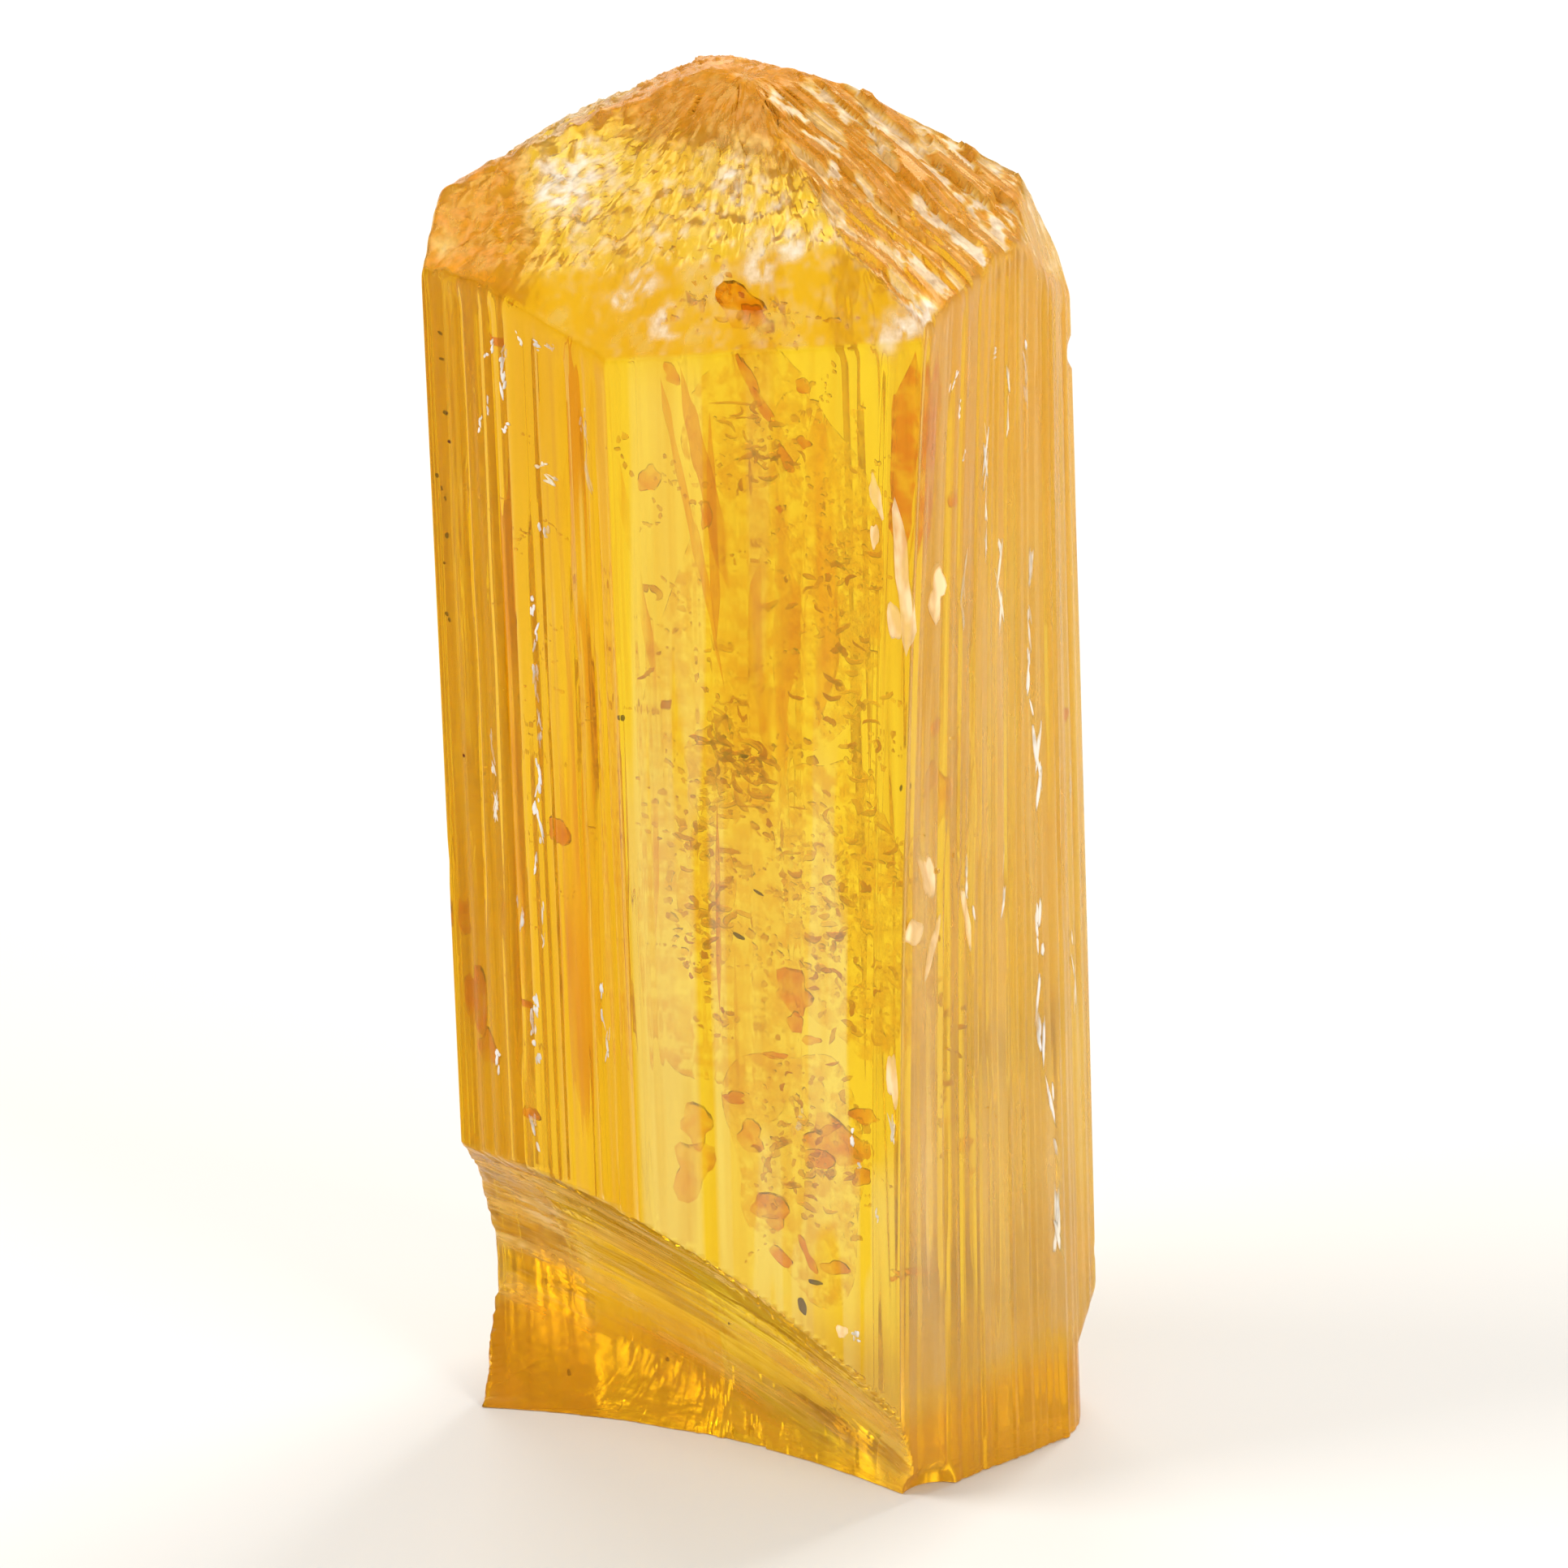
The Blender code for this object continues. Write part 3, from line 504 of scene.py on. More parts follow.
@dataclass
class Roof:
    """The roof-shaped top: flat faces, worn edges, slanting ledges on the right and pits on the left.

    Attributes:
        faces: The faces by name.
        edge_wear: Radius that rounds the edges between the faces.
        ledge_turn: Compass turn of the ledges on the right front face, in degrees.
        ledge_width: Spacing of the ledges across their run.
        ledge_length: Length of a ledge's chips along its run.
        ledge_depth: Most that a chip stands below the face.
        pit_depth: Depth of the etching on the left faces.
    """

    faces: dict = field(default_factory=lambda: {
        "front_left": RoofFace((-1.23, 0.86, 34.72), 45.0, 235.2),
        "front_right": RoofFace((4.00, 0.86, 33.72), 28.5, -40.0),
        "back_left": RoofFace((-1.71, 0.86, 34.45), 31.3, 142.6),
        "back_right": RoofFace((4.00, 0.86, 33.72), 42.0, 62.0),
        "front_bevel": RoofFace((-3.32, -3.17, 29.13), 63.9, 242.1),
        "back_bevel": RoofFace((3.65, 3.10, 29.30), 63.9, 62.1),
        "right_end": RoofFace((6.84, 0.46, 31.68), 74.0, -8.0),
        "left_end": RoofFace((-6.95, 1.00, 32.20), 62.0, 176.0),
        "left_crest": RoofFace((-1.55, 0.86, 34.66), 14.0, 170.0),
        "right_crest": RoofFace((1.00, 0.86, 34.70), 11.0, 8.0),
        "crest": RoofFace((-0.30, 0.86, 35.02), 2.0, -60.0),
    })
    edge_wear: float = 0.10
    ledge_turn: float = -38.0
    ledge_width: float = 0.56
    ledge_length: float = 1.7
    ledge_depth: float = 0.26
    pit_depth: float = 0.20

    def plain_height(self, x: np.ndarray, y: np.ndarray) -> np.ndarray:
        """Height of the smooth roof: the soft least of its planes."""
        return soft_min([f.height(x, y) for f in self.faces.values()], self.edge_wear)

    def share_of(self, name: str, x: np.ndarray, y: np.ndarray, blur: float = 0.10) -> np.ndarray:
        """How much of each point belongs to one face, from 0 to 1.

        Args:
            name: The face.
            x: Across.
            y: Depth.
            blur: Height over which a face hands over to its neighbour.

        Returns:
            1 where the face is clearly the lowest plane, falling to 0 where another is.
        """
        others = [f.height(x, y) for key, f in self.faces.items() if key != name]
        gap = np.min(others, axis=0) - self.faces[name].height(x, y)
        return smoothstep(-blur, blur, gap)

    def bevels(self, x: np.ndarray, y: np.ndarray) -> np.ndarray:
        """Share of each point that lies on a bevel, in front or behind."""
        return np.maximum(self.share_of("front_bevel", x, y), self.share_of("back_bevel", x, y))

    def chips(self, x: np.ndarray, y: np.ndarray, scale: float, seed: int) -> tuple[np.ndarray, ...]:
        """Cells of the slanting chips: bands across the run, each cut in chips of random length.

        Args:
            x: Across.
            y: Depth.
            scale: Size against the main chips.
            seed: Number that makes this set its own.

        Returns:
            A random level, a random lean, and the shares across and along its chip, for each point.
        """
        turn = math.radians(self.ledge_turn)
        wobble = 0.16 * value_noise(stacked(x, y) * 0.8, 71)
        along = x * math.cos(turn) + y * math.sin(turn)
        across = -x * math.sin(turn) + y * math.cos(turn) + wobble
        band = across / (self.ledge_width * scale)
        row = np.floor(band)
        start = 7.3 * lattice(stacked(row, 0.0), seed)
        length = self.ledge_length * scale * (0.6 + 0.9 * lattice(stacked(row, 5.0), seed))
        run = (along + start) / length + 0.25 * (band - row)
        chip = np.floor(run)
        level = lattice(stacked(row, chip), seed + 1)
        lean = lattice(stacked(row, chip), seed + 2) - 0.35
        return level, lean, band - row, run - chip

    def ledges(self, x: np.ndarray, y: np.ndarray) -> np.ndarray:
        """Depth of the slanting chips at two sizes.

        The height of a chip is its random level, plus a ramp across its band and a ramp along it, so every chip ends
        in a small step.
        """
        total = np.zeros_like(x)
        for scale, strength, seed in ((1.0, 0.9, 3), (0.45, 0.40, 9)):
            level, lean, across, along = self.chips(x, y, scale, seed)
            ramp = across * 0.8 + (along - 0.5) * lean
            total += strength * np.where(level > 0.22, 0.75 * level + 0.55 * ramp, 0.1 * ramp)
        return -self.ledge_depth * (total - 0.6)

    def bright_chips(self, x: np.ndarray, y: np.ndarray) -> np.ndarray:
        """Share of each point that lies on a frosted chip."""
        large, _, across, along = self.chips(x, y, 1.0, 3)
        edge = smoothstep(0.0, 0.12, along) * smoothstep(0.02, 0.15, across) * smoothstep(1.0, 0.9, across)
        small, _, near, _ = self.chips(x, y, 0.45, 9)
        torn = smoothstep(-0.16, 0.0, layered_noise(stacked(x, y) * 3.2, 77, 2))
        line = smoothstep(0.20, 0.05, near) * (small > 0.3)
        return np.clip(1.0 * (large > 0.68) * edge * torn + 0.7 * (small > 0.84) + 0.3 * line, 0.0, 1.0)

    def pits(self, x: np.ndarray, y: np.ndarray) -> np.ndarray:
        """Depth of the etched hollows and grains: lumps, ridged noise, and small faces at two sizes."""
        p = stacked(x, y)
        lumps = layered_noise(p * 0.75, 21, 3, 0.55)
        grain = np.abs(layered_noise(p * 2.6 + 3.0, 33, 3, 0.6))
        faces = cell_faces(p / 0.48, 35) + 0.5 * cell_faces(p / 0.24 + 9.0, 36)
        return self.pit_depth * (0.5 * lumps - 0.4 * (grain - 0.3) + 0.55 * faces)

    def height(self, x: np.ndarray, y: np.ndarray) -> np.ndarray:
        """Height of the etched roof over each point."""
        right = self.share_of("front_right", x, y)
        left = (1.0 - right) * (1.0 - 0.75 * self.bevels(x, y))
        calm = 0.3 + 0.7 * smoothstep(0.4, 2.0, np.hypot(x - 0.1, 1.6 * (y - 0.6)))
        return self.plain_height(x, y) + calm * (right * self.ledges(x, y) + left * self.pits(x, y))


@dataclass
class Hollow:
    """The hollow broken out of the lower front left: the wall of a tilted ellipsoid with steps along it.

    Attributes:
        centre: Centre of the ellipsoid.
        half_sizes: Its half sizes.
        turn: Its turns about X, Y and Z, in degrees.
        hackle: Height of the steps.
    """

    centre: tuple[float, float, float] = (-8.33, -10.42, 2.10)
    half_sizes: tuple[float, float, float] = (19.34, 11.37, 7.20)
    turn: tuple[float, float, float] = (-1.7, 18.1, -33.3)
    hackle: float = 0.07

    def matrix(self) -> np.ndarray:
        """Turn of the ellipsoid, as Rz Ry Rx."""
        ax, ay, az = (math.radians(a) for a in self.turn)
        return np.array(
            Matrix.Rotation(az, 3, "Z") @ Matrix.Rotation(ay, 3, "Y") @ Matrix.Rotation(ax, 3, "X")
        )

    def reach(self, origin: np.ndarray, way: np.ndarray) -> np.ndarray:
        """Distance along each ray to the ellipsoid, or a very large number where it misses.

        Args:
            origin: Starts of the rays.
            way: Unit directions.

        Returns:
            The nearer root of |(origin + r * way - centre) / half_sizes| = 1 in the ellipsoid's own axes.
        """
        m = self.matrix()
        p = (origin - np.array(self.centre)) @ m / np.array(self.half_sizes)
        d = way @ m / np.array(self.half_sizes)
        return nearer_root((d * d).sum(-1), (p * d).sum(-1), (p * p).sum(-1) - 1.0)

    def steps(self, points: np.ndarray, depth: np.ndarray) -> np.ndarray:
        """Depth of the hackle steps at points of the wall.

        The steps run beside the hollow's upper edge: a saw-tooth over the depth of the break, bent by slow noise
        and faded by patches.
        """
        run = 1.6 * depth + 0.25 * points[..., 0]
        bend = 0.3 * value_noise(points * 0.45, 51) + 0.12 * value_noise(points * 1.7, 52)
        total = np.zeros(points.shape[:-1])
        for pitch, strength, seed in ((1.05, 1.0, 53), (0.36, 0.6, 54), (0.15, 0.3, 55)):
            tooth = (run + bend) / pitch
            patch = smoothstep(-0.3, 0.4, value_noise(points * 0.55 + seed, seed))
            total += strength * patch * (tooth - np.floor(tooth))
        return -self.hackle * total


@dataclass
class Grooves:
    """Growth grooves and ledges that run up the sides.

    Attributes:
        counts: How many grooves each side has.
        depths: Deepest groove of each side.
        ledge_depths: Height of each side's broad growth ledges.
        gather: How strongly the middle side's grooves crowd towards its left edge: 1 is evenly.
        seed: Seed of their places and sizes.
    """

    counts: tuple[int, ...] = (46, 16, 52, 8, 22, 26, 24, 8)
    depths: tuple[float, ...] = (0.045, 0.016, 0.055, 0.05, 0.06, 0.05, 0.06, 0.05)
    ledge_depths: tuple[float, ...] = (0.08, 0.03, 0.10, 0.04, 0.10, 0.08, 0.09, 0.04)
    gather: float = 2.2
    seed: int = 41

    def relief(self, prism: Prism, height: np.ndarray) -> np.ndarray:
        """How far each grid point stands in from its flat side.

        Each groove is a Gaussian across the side, faded in and out along its own stretch of the height. The ledges
        are steps between random levels across the side.

        Args:
            prism: The prism whose columns these are.
            height: Heights, rows by columns.

        Returns:
            Depths below zero, rows by columns.
        """
        rng = np.random.default_rng(self.seed)
        side, length = prism.sides(), prism.side_length()
        place = prism.shares() * length
        total = np.zeros(height.shape)
        for number, count in enumerate(self.counts):
            columns = np.flatnonzero(side == number)
            span = length[columns[0]]
            at = rng.uniform(0.02, 0.98, count) ** (self.gather if number == Side.MIDDLE.value else 1.0) * span
            width = rng.uniform(0.025, 0.12, count)
            depth = self.depths[number] * rng.uniform(0.3, 1.0, count)
            low = rng.choice([-4.0, -4.0, 4.0, 9.0, 14.0], count) + rng.uniform(-2, 2, count)
            high = rng.choice([40.0, 40.0, 29.0, 24.0, 18.0], count) + rng.uniform(-2, 2, count)
            high = np.maximum(high, low + 5.0)
            drift = rng.uniform(-0.04, 0.04, count)
            z = height[:, columns][None]
            w = place[columns] + 0.02 * value_noise(stacked(z * 0.35, 0.0), 7 + number)
            centre = at[:, None, None] + drift[:, None, None] * (z - 15.0) / 15.0
            bell = np.exp(-(((w - centre) / width[:, None, None]) ** 2))
            fade = smoothstep(0.0, 1.8, z - low[:, None, None]) * smoothstep(0.0, 1.8, high[:, None, None] - z)
            total[:, columns] -= (depth[:, None, None] * bell * fade).sum(0)
            cuts = np.sort(rng.uniform(0.06, 0.94, 7)) * span
            levels = rng.uniform(0.0, 1.0, 8)
            step = levels[np.searchsorted(cuts, place[columns])]
            edge = smoothstep(0.0, 0.25, place[columns]) * smoothstep(0.0, 0.25, span - place[columns])
            total[:, columns] -= (self.ledge_depths[number] * step * edge)[None, :]
        return total


@dataclass
class Breaks:
    """Small losses: the step low on the right, the chip at the front of the base and the notch at the right.

    Attributes:
        step_x: Across, where the lower right is set back to.
        step_low: Height up to which it is set back.
        step_high: Height at which the step ends.
        step_rise: How far the step leans out on its way up.
        free_above: How far over the step the side is free of it.
        chips: Centre and radius of each chip, cut as a ball.
    """

    step_x: float = 7.01
    step_low: float = 2.0
    step_high: float = 3.3
    step_rise: float = 0.62
    free_above: float = 0.6
    chips: tuple = (
        ((3.55, -5.20, -0.1), 0.95),
        ((7.93, 0.30, 27.4), 0.46),
        ((7.80, -0.30, 4.0), 0.30),
        ((-7.95, 0.20, 14.6), 0.52),
    )

    def step_limit(self, height: np.ndarray) -> np.ndarray:
        """Greatest x of the side at each height: set back below, free above."""
        rise = np.clip((height - self.step_low) / (self.step_high - self.step_low), 0.0, 1.0)
        free = np.where(height > self.step_high + self.free_above, FAR, 0.0)
        return self.step_x + self.step_rise * rise + free

    def ball_reach(self, origin: np.ndarray, way: np.ndarray) -> np.ndarray:
        """Distance along each ray to the nearest chip, or a very large number where it misses them all."""
        best = np.full(origin.shape[:-1], FAR)
        for centre, radius in self.chips:
            p = origin - np.array(centre)
            best = np.minimum(best, nearer_root(1.0, (p * way).sum(-1), (p * p).sum(-1) - radius**2))
        return best


@dataclass
class Surface:
    """Grid points of the whole skin, with what the finish needs to know at each.

    Attributes:
        points: Rows by columns by (x, y, z), from the base's edge to the roof's pole.
        side_rows: How many rows the sides have.
        hollow: Share of each point that lies in the broken hollow.
        side: Side number of each column.
        place: Distance of each column along its side.
    """

    points: np.ndarray
    side_rows: int
    hollow: np.ndarray
    side: np.ndarray
    place: np.ndarray


@dataclass
class Crystal:
    """The crystal's skin, from its prism, roof, grooves and breaks.

    Attributes:
        prism: The prism.
        roof: The top.
        hollow: The broken hollow.
        grooves: The growth grooves.
        breaks: The small losses.
        fixed_heights: Steps of the rows low down, as (up to this height, spacing).
        top_rows: Rows between the last fixed height and the shoulder.
        roof_rings: Rings over the roof.
        base_rings: Rings under the base.
        shoulder_wear: Passes of smoothing that round the shoulder.
        crowding: How strongly the upper rows crowd towards the shoulder: 1 is evenly.
        corner_wear: Radius that rounds the corners between the sides, the hollow, the step and the chips.
        deepest: Greatest distance from the axis at which the hollow's wall is worked out.
        most_lost: Greatest thickness broken off that the hollow's steps count.
        sharp_angle: Angle from which an edge between two faces is drawn sharp, in degrees.
    """

    prism: Prism = field(default_factory=Prism)
    roof: Roof = field(default_factory=Roof)
    hollow: Hollow = field(default_factory=Hollow)
    grooves: Grooves = field(default_factory=Grooves)
    breaks: Breaks = field(default_factory=Breaks)
    fixed_heights: tuple = ((8.0, 0.15), (26.0, 0.62))
    top_rows: int = 20
    roof_rings: int = 68
    base_rings: int = 4
    shoulder_wear: int = 5
    crowding: float = 1.35
    corner_wear: float = 0.035
    deepest: float = 12.0
    most_lost: float = 6.0
    sharp_angle: float = 32.0

    def row_heights(self) -> np.ndarray:
        """Fixed heights of the lower rows, from 0."""
        rows, low = [np.zeros(1)], 0.0
        for high, spacing in self.fixed_heights:
            count = int(round((high - low) / spacing))
            rows.append(low + (high - low) * np.arange(1, count + 1) / count)
            low = high
        return np.concatenate(rows)

    def shoulder(self) -> np.ndarray:
        """Height where each column meets the roof, by a few rounds of looking the roof up at the column."""
        height = np.full((1, self.prism.sides().size), self.prism.shoulder_height)
        for _ in range(6):
            p = self.prism.outline(height)
            height = self.roof.height(p[..., 0] * 0.995, p[..., 1] * 0.995)
        return height

    def side_points(self) -> tuple[np.ndarray, np.ndarray]:
        """Points of the side rows, and the hollow's share of each.

        A ray runs level from the axis to the outline. The surface lies at the least of the outline, the hollow, the
        step and the chips along it, with soft corners. The grooves are cut in before that.

        Returns:
            Rows by columns by (x, y, z), and rows by columns.
        """
        fixed, top = self.row_heights(), self.shoulder()
        share = 1.0 - (1.0 - np.arange(1, self.top_rows + 1) / self.top_rows) ** self.crowding
        height = np.concatenate([
            np.broadcast_to(fixed[:, None], (fixed.size, top.shape[1])),
            fixed[-1] + (top - fixed[-1]) * share[:, None],
        ])
        flat = self.prism.outline(height)
        fade = smoothstep(0.0, 0.8, top - height) * 0.75 + 0.25
        flat = flat + (self.grooves.relief(self.prism, height) * fade)[..., None] * self.prism.outward()[None]
        axis = np.array(self.prism.axis)
        ray = flat - axis
        reach = np.linalg.norm(ray, axis=-1)
        way = np.concatenate([ray / reach[..., None], np.zeros(reach.shape + (1,))], -1)
        origin = np.concatenate([np.broadcast_to(axis, ray.shape), height[..., None]], -1)
        scoop = self.hollow.reach(origin, way)
        wall = origin + way * np.minimum(scoop, self.deepest)[..., None]
        lost = np.clip(reach - scoop, 0.0, self.most_lost)
        scoop = scoop + np.where(scoop < FAR / 2, self.hollow.steps(wall, lost), 0.0)
        limit = (self.breaks.step_limit(height) - axis[0]) / np.maximum(way[..., 0], 1.0e-3)
        limit = np.where(way[..., 0] > 0.5, limit, FAR)
        chips = self.breaks.ball_reach(origin, way)
        found = soft_min([reach, np.minimum(scoop, FAR), limit, chips], self.corner_wear)
        in_hollow = smoothstep(-0.05, 0.05, reach - scoop)
        return origin + way * found[..., None], in_hollow

    def roof_points(self, rim: np.ndarray) -> np.ndarray:
        """Points of the rings: the rim drawn in to the axis, at the roof's height.

        Args:
            rim: The last side row.

        Returns:
            Rings by columns by (x, y, z), the last ring almost at the pole.
        """
        share = (1.0 - np.arange(1, self.roof_rings + 1) / (self.roof_rings + 1.0))[:, None, None]
        axis = np.array(self.prism.axis)
        plan = axis + (rim[None, :, :2] - axis) * share
        height = self.roof.height(plan[..., 0], plan[..., 1])
        return np.concatenate([plan, height[..., None]], -1)

    def skin(self) -> Surface:
        """The whole grid, with the shoulder rounded by averaging along the columns.

        Returns:
            The surface.
        """
        sides, in_hollow = self.side_points()
        rings = self.roof_points(sides[-1])
        points = np.concatenate([sides, rings])
        seam = sides.shape[0] - 1
        rows = np.arange(points.shape[0])[:, None, None]
        near = smoothstep(7.0, 2.0, np.abs(rows - seam).astype(float))
        for _ in range(self.shoulder_wear):
            points = points + near * (smoothed(points) - points)
        empty = np.zeros(rings.shape[:2])
        return Surface(points, sides.shape[0], np.concatenate([in_hollow, empty]), self.prism.sides(),
                       self.prism.shares() * self.prism.side_length())


# Meshes


def tube_faces(rows: int, columns: int) -> np.ndarray:
    """Faces of a closed tube: its rows of points, then one point that closes its start and one that closes its end.

    Args:
        rows: Rows along the tube.
        columns: Points round it.

    Returns:
        Rows of four indices: the quads, then a fan at each end, with the last two indices equal on a triangle.
    """
    index = np.arange(rows * columns).reshape(rows, columns)
    right = np.roll(index, -1, axis=1)
    quads = np.stack([index[:-1], right[:-1], right[1:], index[1:]], -1).reshape(-1, 4)
    low, high = np.full(columns, rows * columns), np.full(columns, rows * columns + 1)
    return np.concatenate([quads, np.stack([right[0], index[0], low, low], -1),
                           np.stack([index[-1], right[-1], high, high], -1)])


def closed_grid(surface: Surface, base_rings: int) -> tuple[np.ndarray, np.ndarray]:
    """Vertices and faces of the skin, closed over the roof's pole and under the base.

    Args:
        surface: The grid.
        base_rings: Rings between the base's edge and its middle.

    Returns:
        Points, and faces as rows of four indices, with the last two equal on triangles.
    """
    edge = surface.points[0]
    middle = edge.mean(0)
    shares = (1.0 - np.arange(1, base_rings + 1) / (base_rings + 1.0))[:, None, None]
    under = (middle + (edge[None] - middle) * shares)[::-1]
    grid = np.concatenate([under, surface.points])
    top = surface.points[-1].mean(0)
    points = np.concatenate([grid.reshape(-1, 3), middle[None], top[None]])
    return points, tube_faces(*grid.shape[:2])


def write_mesh(name: str, points: np.ndarray, faces: np.ndarray, shift: np.ndarray) -> bpy.types.Object:
    """Make an object at the origin from points in millimetres.

    Args:
        name: Piece name.
        points: Points in the crystal's frame.
        faces: Rows of four indices; the last two are equal on a triangle.
        shift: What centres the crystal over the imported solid.

    Returns:
        The object, linked to the scene.
    """
    mesh = bpy.data.meshes.new(name)
    flat = (faces[:, 2] == faces[:, 3])
    sizes = np.where(flat, 3, 4)
    keep = np.ones(faces.shape, bool)
    keep[flat, 3] = False
    mesh.vertices.add(len(points))
    mesh.vertices.foreach_set("co", ((points + shift) * MM).astype(np.float32).ravel())
    mesh.loops.add(int(sizes.sum()))
    mesh.loops.foreach_set("vertex_index", faces[keep].astype(np.int32))
    mesh.polygons.add(len(faces))
    mesh.polygons.foreach_set("loop_start", np.concatenate([[0], np.cumsum(sizes)[:-1]]).astype(np.int32))
    mesh.polygons.foreach_set("use_smooth", np.ones(len(faces), bool))
    mesh.update(calc_edges=True)
    mesh.validate()
    obj = bpy.data.objects.new(name, mesh)
    bpy.context.scene.collection.objects.link(obj)
    return obj


def store(obj: bpy.types.Object, name: str, values: np.ndarray) -> None:
    """Keep one number for each vertex of a piece as an attribute of that name."""
    attribute = obj.data.attributes.new(name, "FLOAT", "POINT")
    attribute.data.foreach_set("value", values.astype(np.float32))


# Flaws


def side_frames(prism: Prism, sides: np.ndarray, lean: np.ndarray) -> np.ndarray:
    """Axes of pieces that lie parallel to a side.

    Args:
        prism: The prism.
        sides: Side number of each piece.
        lean: Turn of each piece within the side, in degrees to the right from upright.

    Returns:
        For each piece three rows: across, up and outward.
    """
    way = prism.ways()
    along = np.concatenate([way, np.zeros((len(way), 1))], 1)[sides]
    up = np.zeros_like(along)
    up[:, 2] = 1.0
    turn = np.radians(lean)[:, None]
    return np.stack([along * np.cos(turn) - up * np.sin(turn), up * np.cos(turn) + along * np.sin(turn),
                     np.cross(along, up)], 1)


def tilted(frames: np.ndarray, most: float, rng: np.random.Generator) -> np.ndarray:
    """Frames with their outward axes tipped at random.

    Args:
        frames: Three rows for each piece.
        most: Greatest sideways share that is added to the outward axis.
        rng: Source of the tips.

    Returns:
        New right-angled frames.
    """
    tip = rng.uniform(-most, most, (len(frames), 2))
    out = unit(frames[:, 2] + frames[:, 0] * tip[:, :1] + frames[:, 1] * tip[:, 1:])
    across = unit(np.cross(frames[:, 1], out))
    return np.stack([across, np.cross(out, across), out], 1)


@dataclass
class Flakes:
    """Thin ragged lenses, each a closed grid of turns and rings.

    Attributes:
        segments: Points round a lens.
        rings: Rings between its two poles.
        ragged: How far its outline wanders, as a share of its size.
        bend: How far it curls, as a share of its width.
        seed: Seed of the outlines.
    """

    segments: int = 12
    rings: int = 3
    ragged: float = 0.25
    bend: float = 0.2
    seed: int = 5

    def build(self, places: np.ndarray, frames: np.ndarray, sizes: np.ndarray) -> tuple[np.ndarray, np.ndarray]:
        """Points and faces of all the lenses.

        A point lies at centre + across * w * sin(p) * r(t) * cos(t) + up * h * sin(p) * r(t) * sin(t)
        + outward * (thickness * cos(p) + curl), where r(t) is one plus a few random waves.

        Args:
            places: Centres.
            frames: Three rows for each lens: across, up and outward.
            sizes: Half width, half height and half thickness of each.

        Returns:
            Points lens by lens, and faces as rows of four indices.
        """
        rng = np.random.default_rng(self.seed)
        n, m, k = len(places), self.segments, self.rings
        t = 2.0 * np.pi * np.arange(m) / m
        wave = np.arange(2, 6)
        part = rng.uniform(-1.0, 1.0, (n, 4)) * self.ragged / np.sqrt(wave - 1.0)
        start = rng.uniform(0.0, 2.0 * np.pi, (n, 4))
        radius = 1.0 + (part[..., None] * np.cos(wave[None, :, None] * t + start[..., None])).sum(1)
        p = np.pi * np.arange(k + 2) / (k + 1)
        flat = np.sin(p)[None, :, None] * radius[:, None, :]
        a, b = flat * np.cos(t), flat * np.sin(t)
        curl = self.bend * rng.uniform(-1.0, 1.0, (n, 1, 1)) * sizes[:, 0, None, None] * (a * a - 0.4 * b * b)
        lift = sizes[:, 2, None, None] * np.cos(p)[None, :, None] + curl
        local = np.stack([a * sizes[:, 0, None, None], b * sizes[:, 1, None, None],
                          np.broadcast_to(lift, a.shape)], -1)
        world = np.einsum("nkmc,ncd->nkmd", local, frames) + places[:, None, None, :]
        body = world[:, 1:-1].reshape(n, k * m, 3)
        points = np.concatenate([body, world[:, :1, 0], world[:, -1:, 0]], 1)
        index = np.arange(k * m).reshape(k, m)
        right = np.roll(index, -1, axis=1)
        quads = np.stack([index[:-1], index[1:], right[1:], right[:-1]], -1).reshape(-1, 4)
        top, low = np.full(m, k * m), np.full(m, k * m + 1)
        caps = np.concatenate([np.stack([top, index[0], right[0], right[0]], -1),
                               np.stack([low, right[-1], index[-1], index[-1]], -1)])
        faces = np.concatenate([quads, caps])[None] + (np.arange(n) * (k * m + 2))[:, None, None]
        return points.reshape(-1, 3), faces.reshape(-1, 4)

    def per_point(self, values: np.ndarray) -> np.ndarray:
        """Repeat one value of each lens for all its points."""
        return np.repeat(values, self.segments * self.rings + 2)


def ribbon(path: np.ndarray, outward: np.ndarray, half_width: float, stations: int = 22,
           turns: int = 8) -> tuple[np.ndarray, np.ndarray]:
    """A thin closed ribbon: an ellipse carried along a path and narrowed to a point at both ends.

    Args:
        path: Points to pass through.
        outward: Direction that the ribbon's flat side faces.
        half_width: Greatest half width.
        stations: Rings along it.
        turns: Points round it.

    Returns:
        Points, and faces as rows of four indices.
    """
    share = np.linspace(0.0, 1.0, stations + 2)
    knots = np.linspace(0.0, 1.0, len(path))
    centre = stacked(*(np.interp(share, knots, path[:, axis]) for axis in range(3)))
    for _ in range(3):
        centre = smoothed(centre)
    across = unit(np.cross(np.gradient(centre, axis=0), outward))
    wander = 1.0 + 0.35 * value_noise(stacked(share * 7.0, path[0, 0]), 91)
    width = half_width * np.minimum(1.0, 5.0 * np.minimum(share, 1.0 - share)) * wander
    t = 2.0 * np.pi * np.arange(turns) / turns
    thin = np.minimum(0.03, width * 0.4)
    rings = centre[:, None] + across[:, None] * (width[:, None] * np.cos(t))[..., None] \
        + outward * (thin[:, None] * np.sin(t))[..., None]
    body = rings[1:-1].reshape(-1, 3)
    return np.concatenate([body, centre[:1], centre[-1:]]), tube_faces(stations, turns)


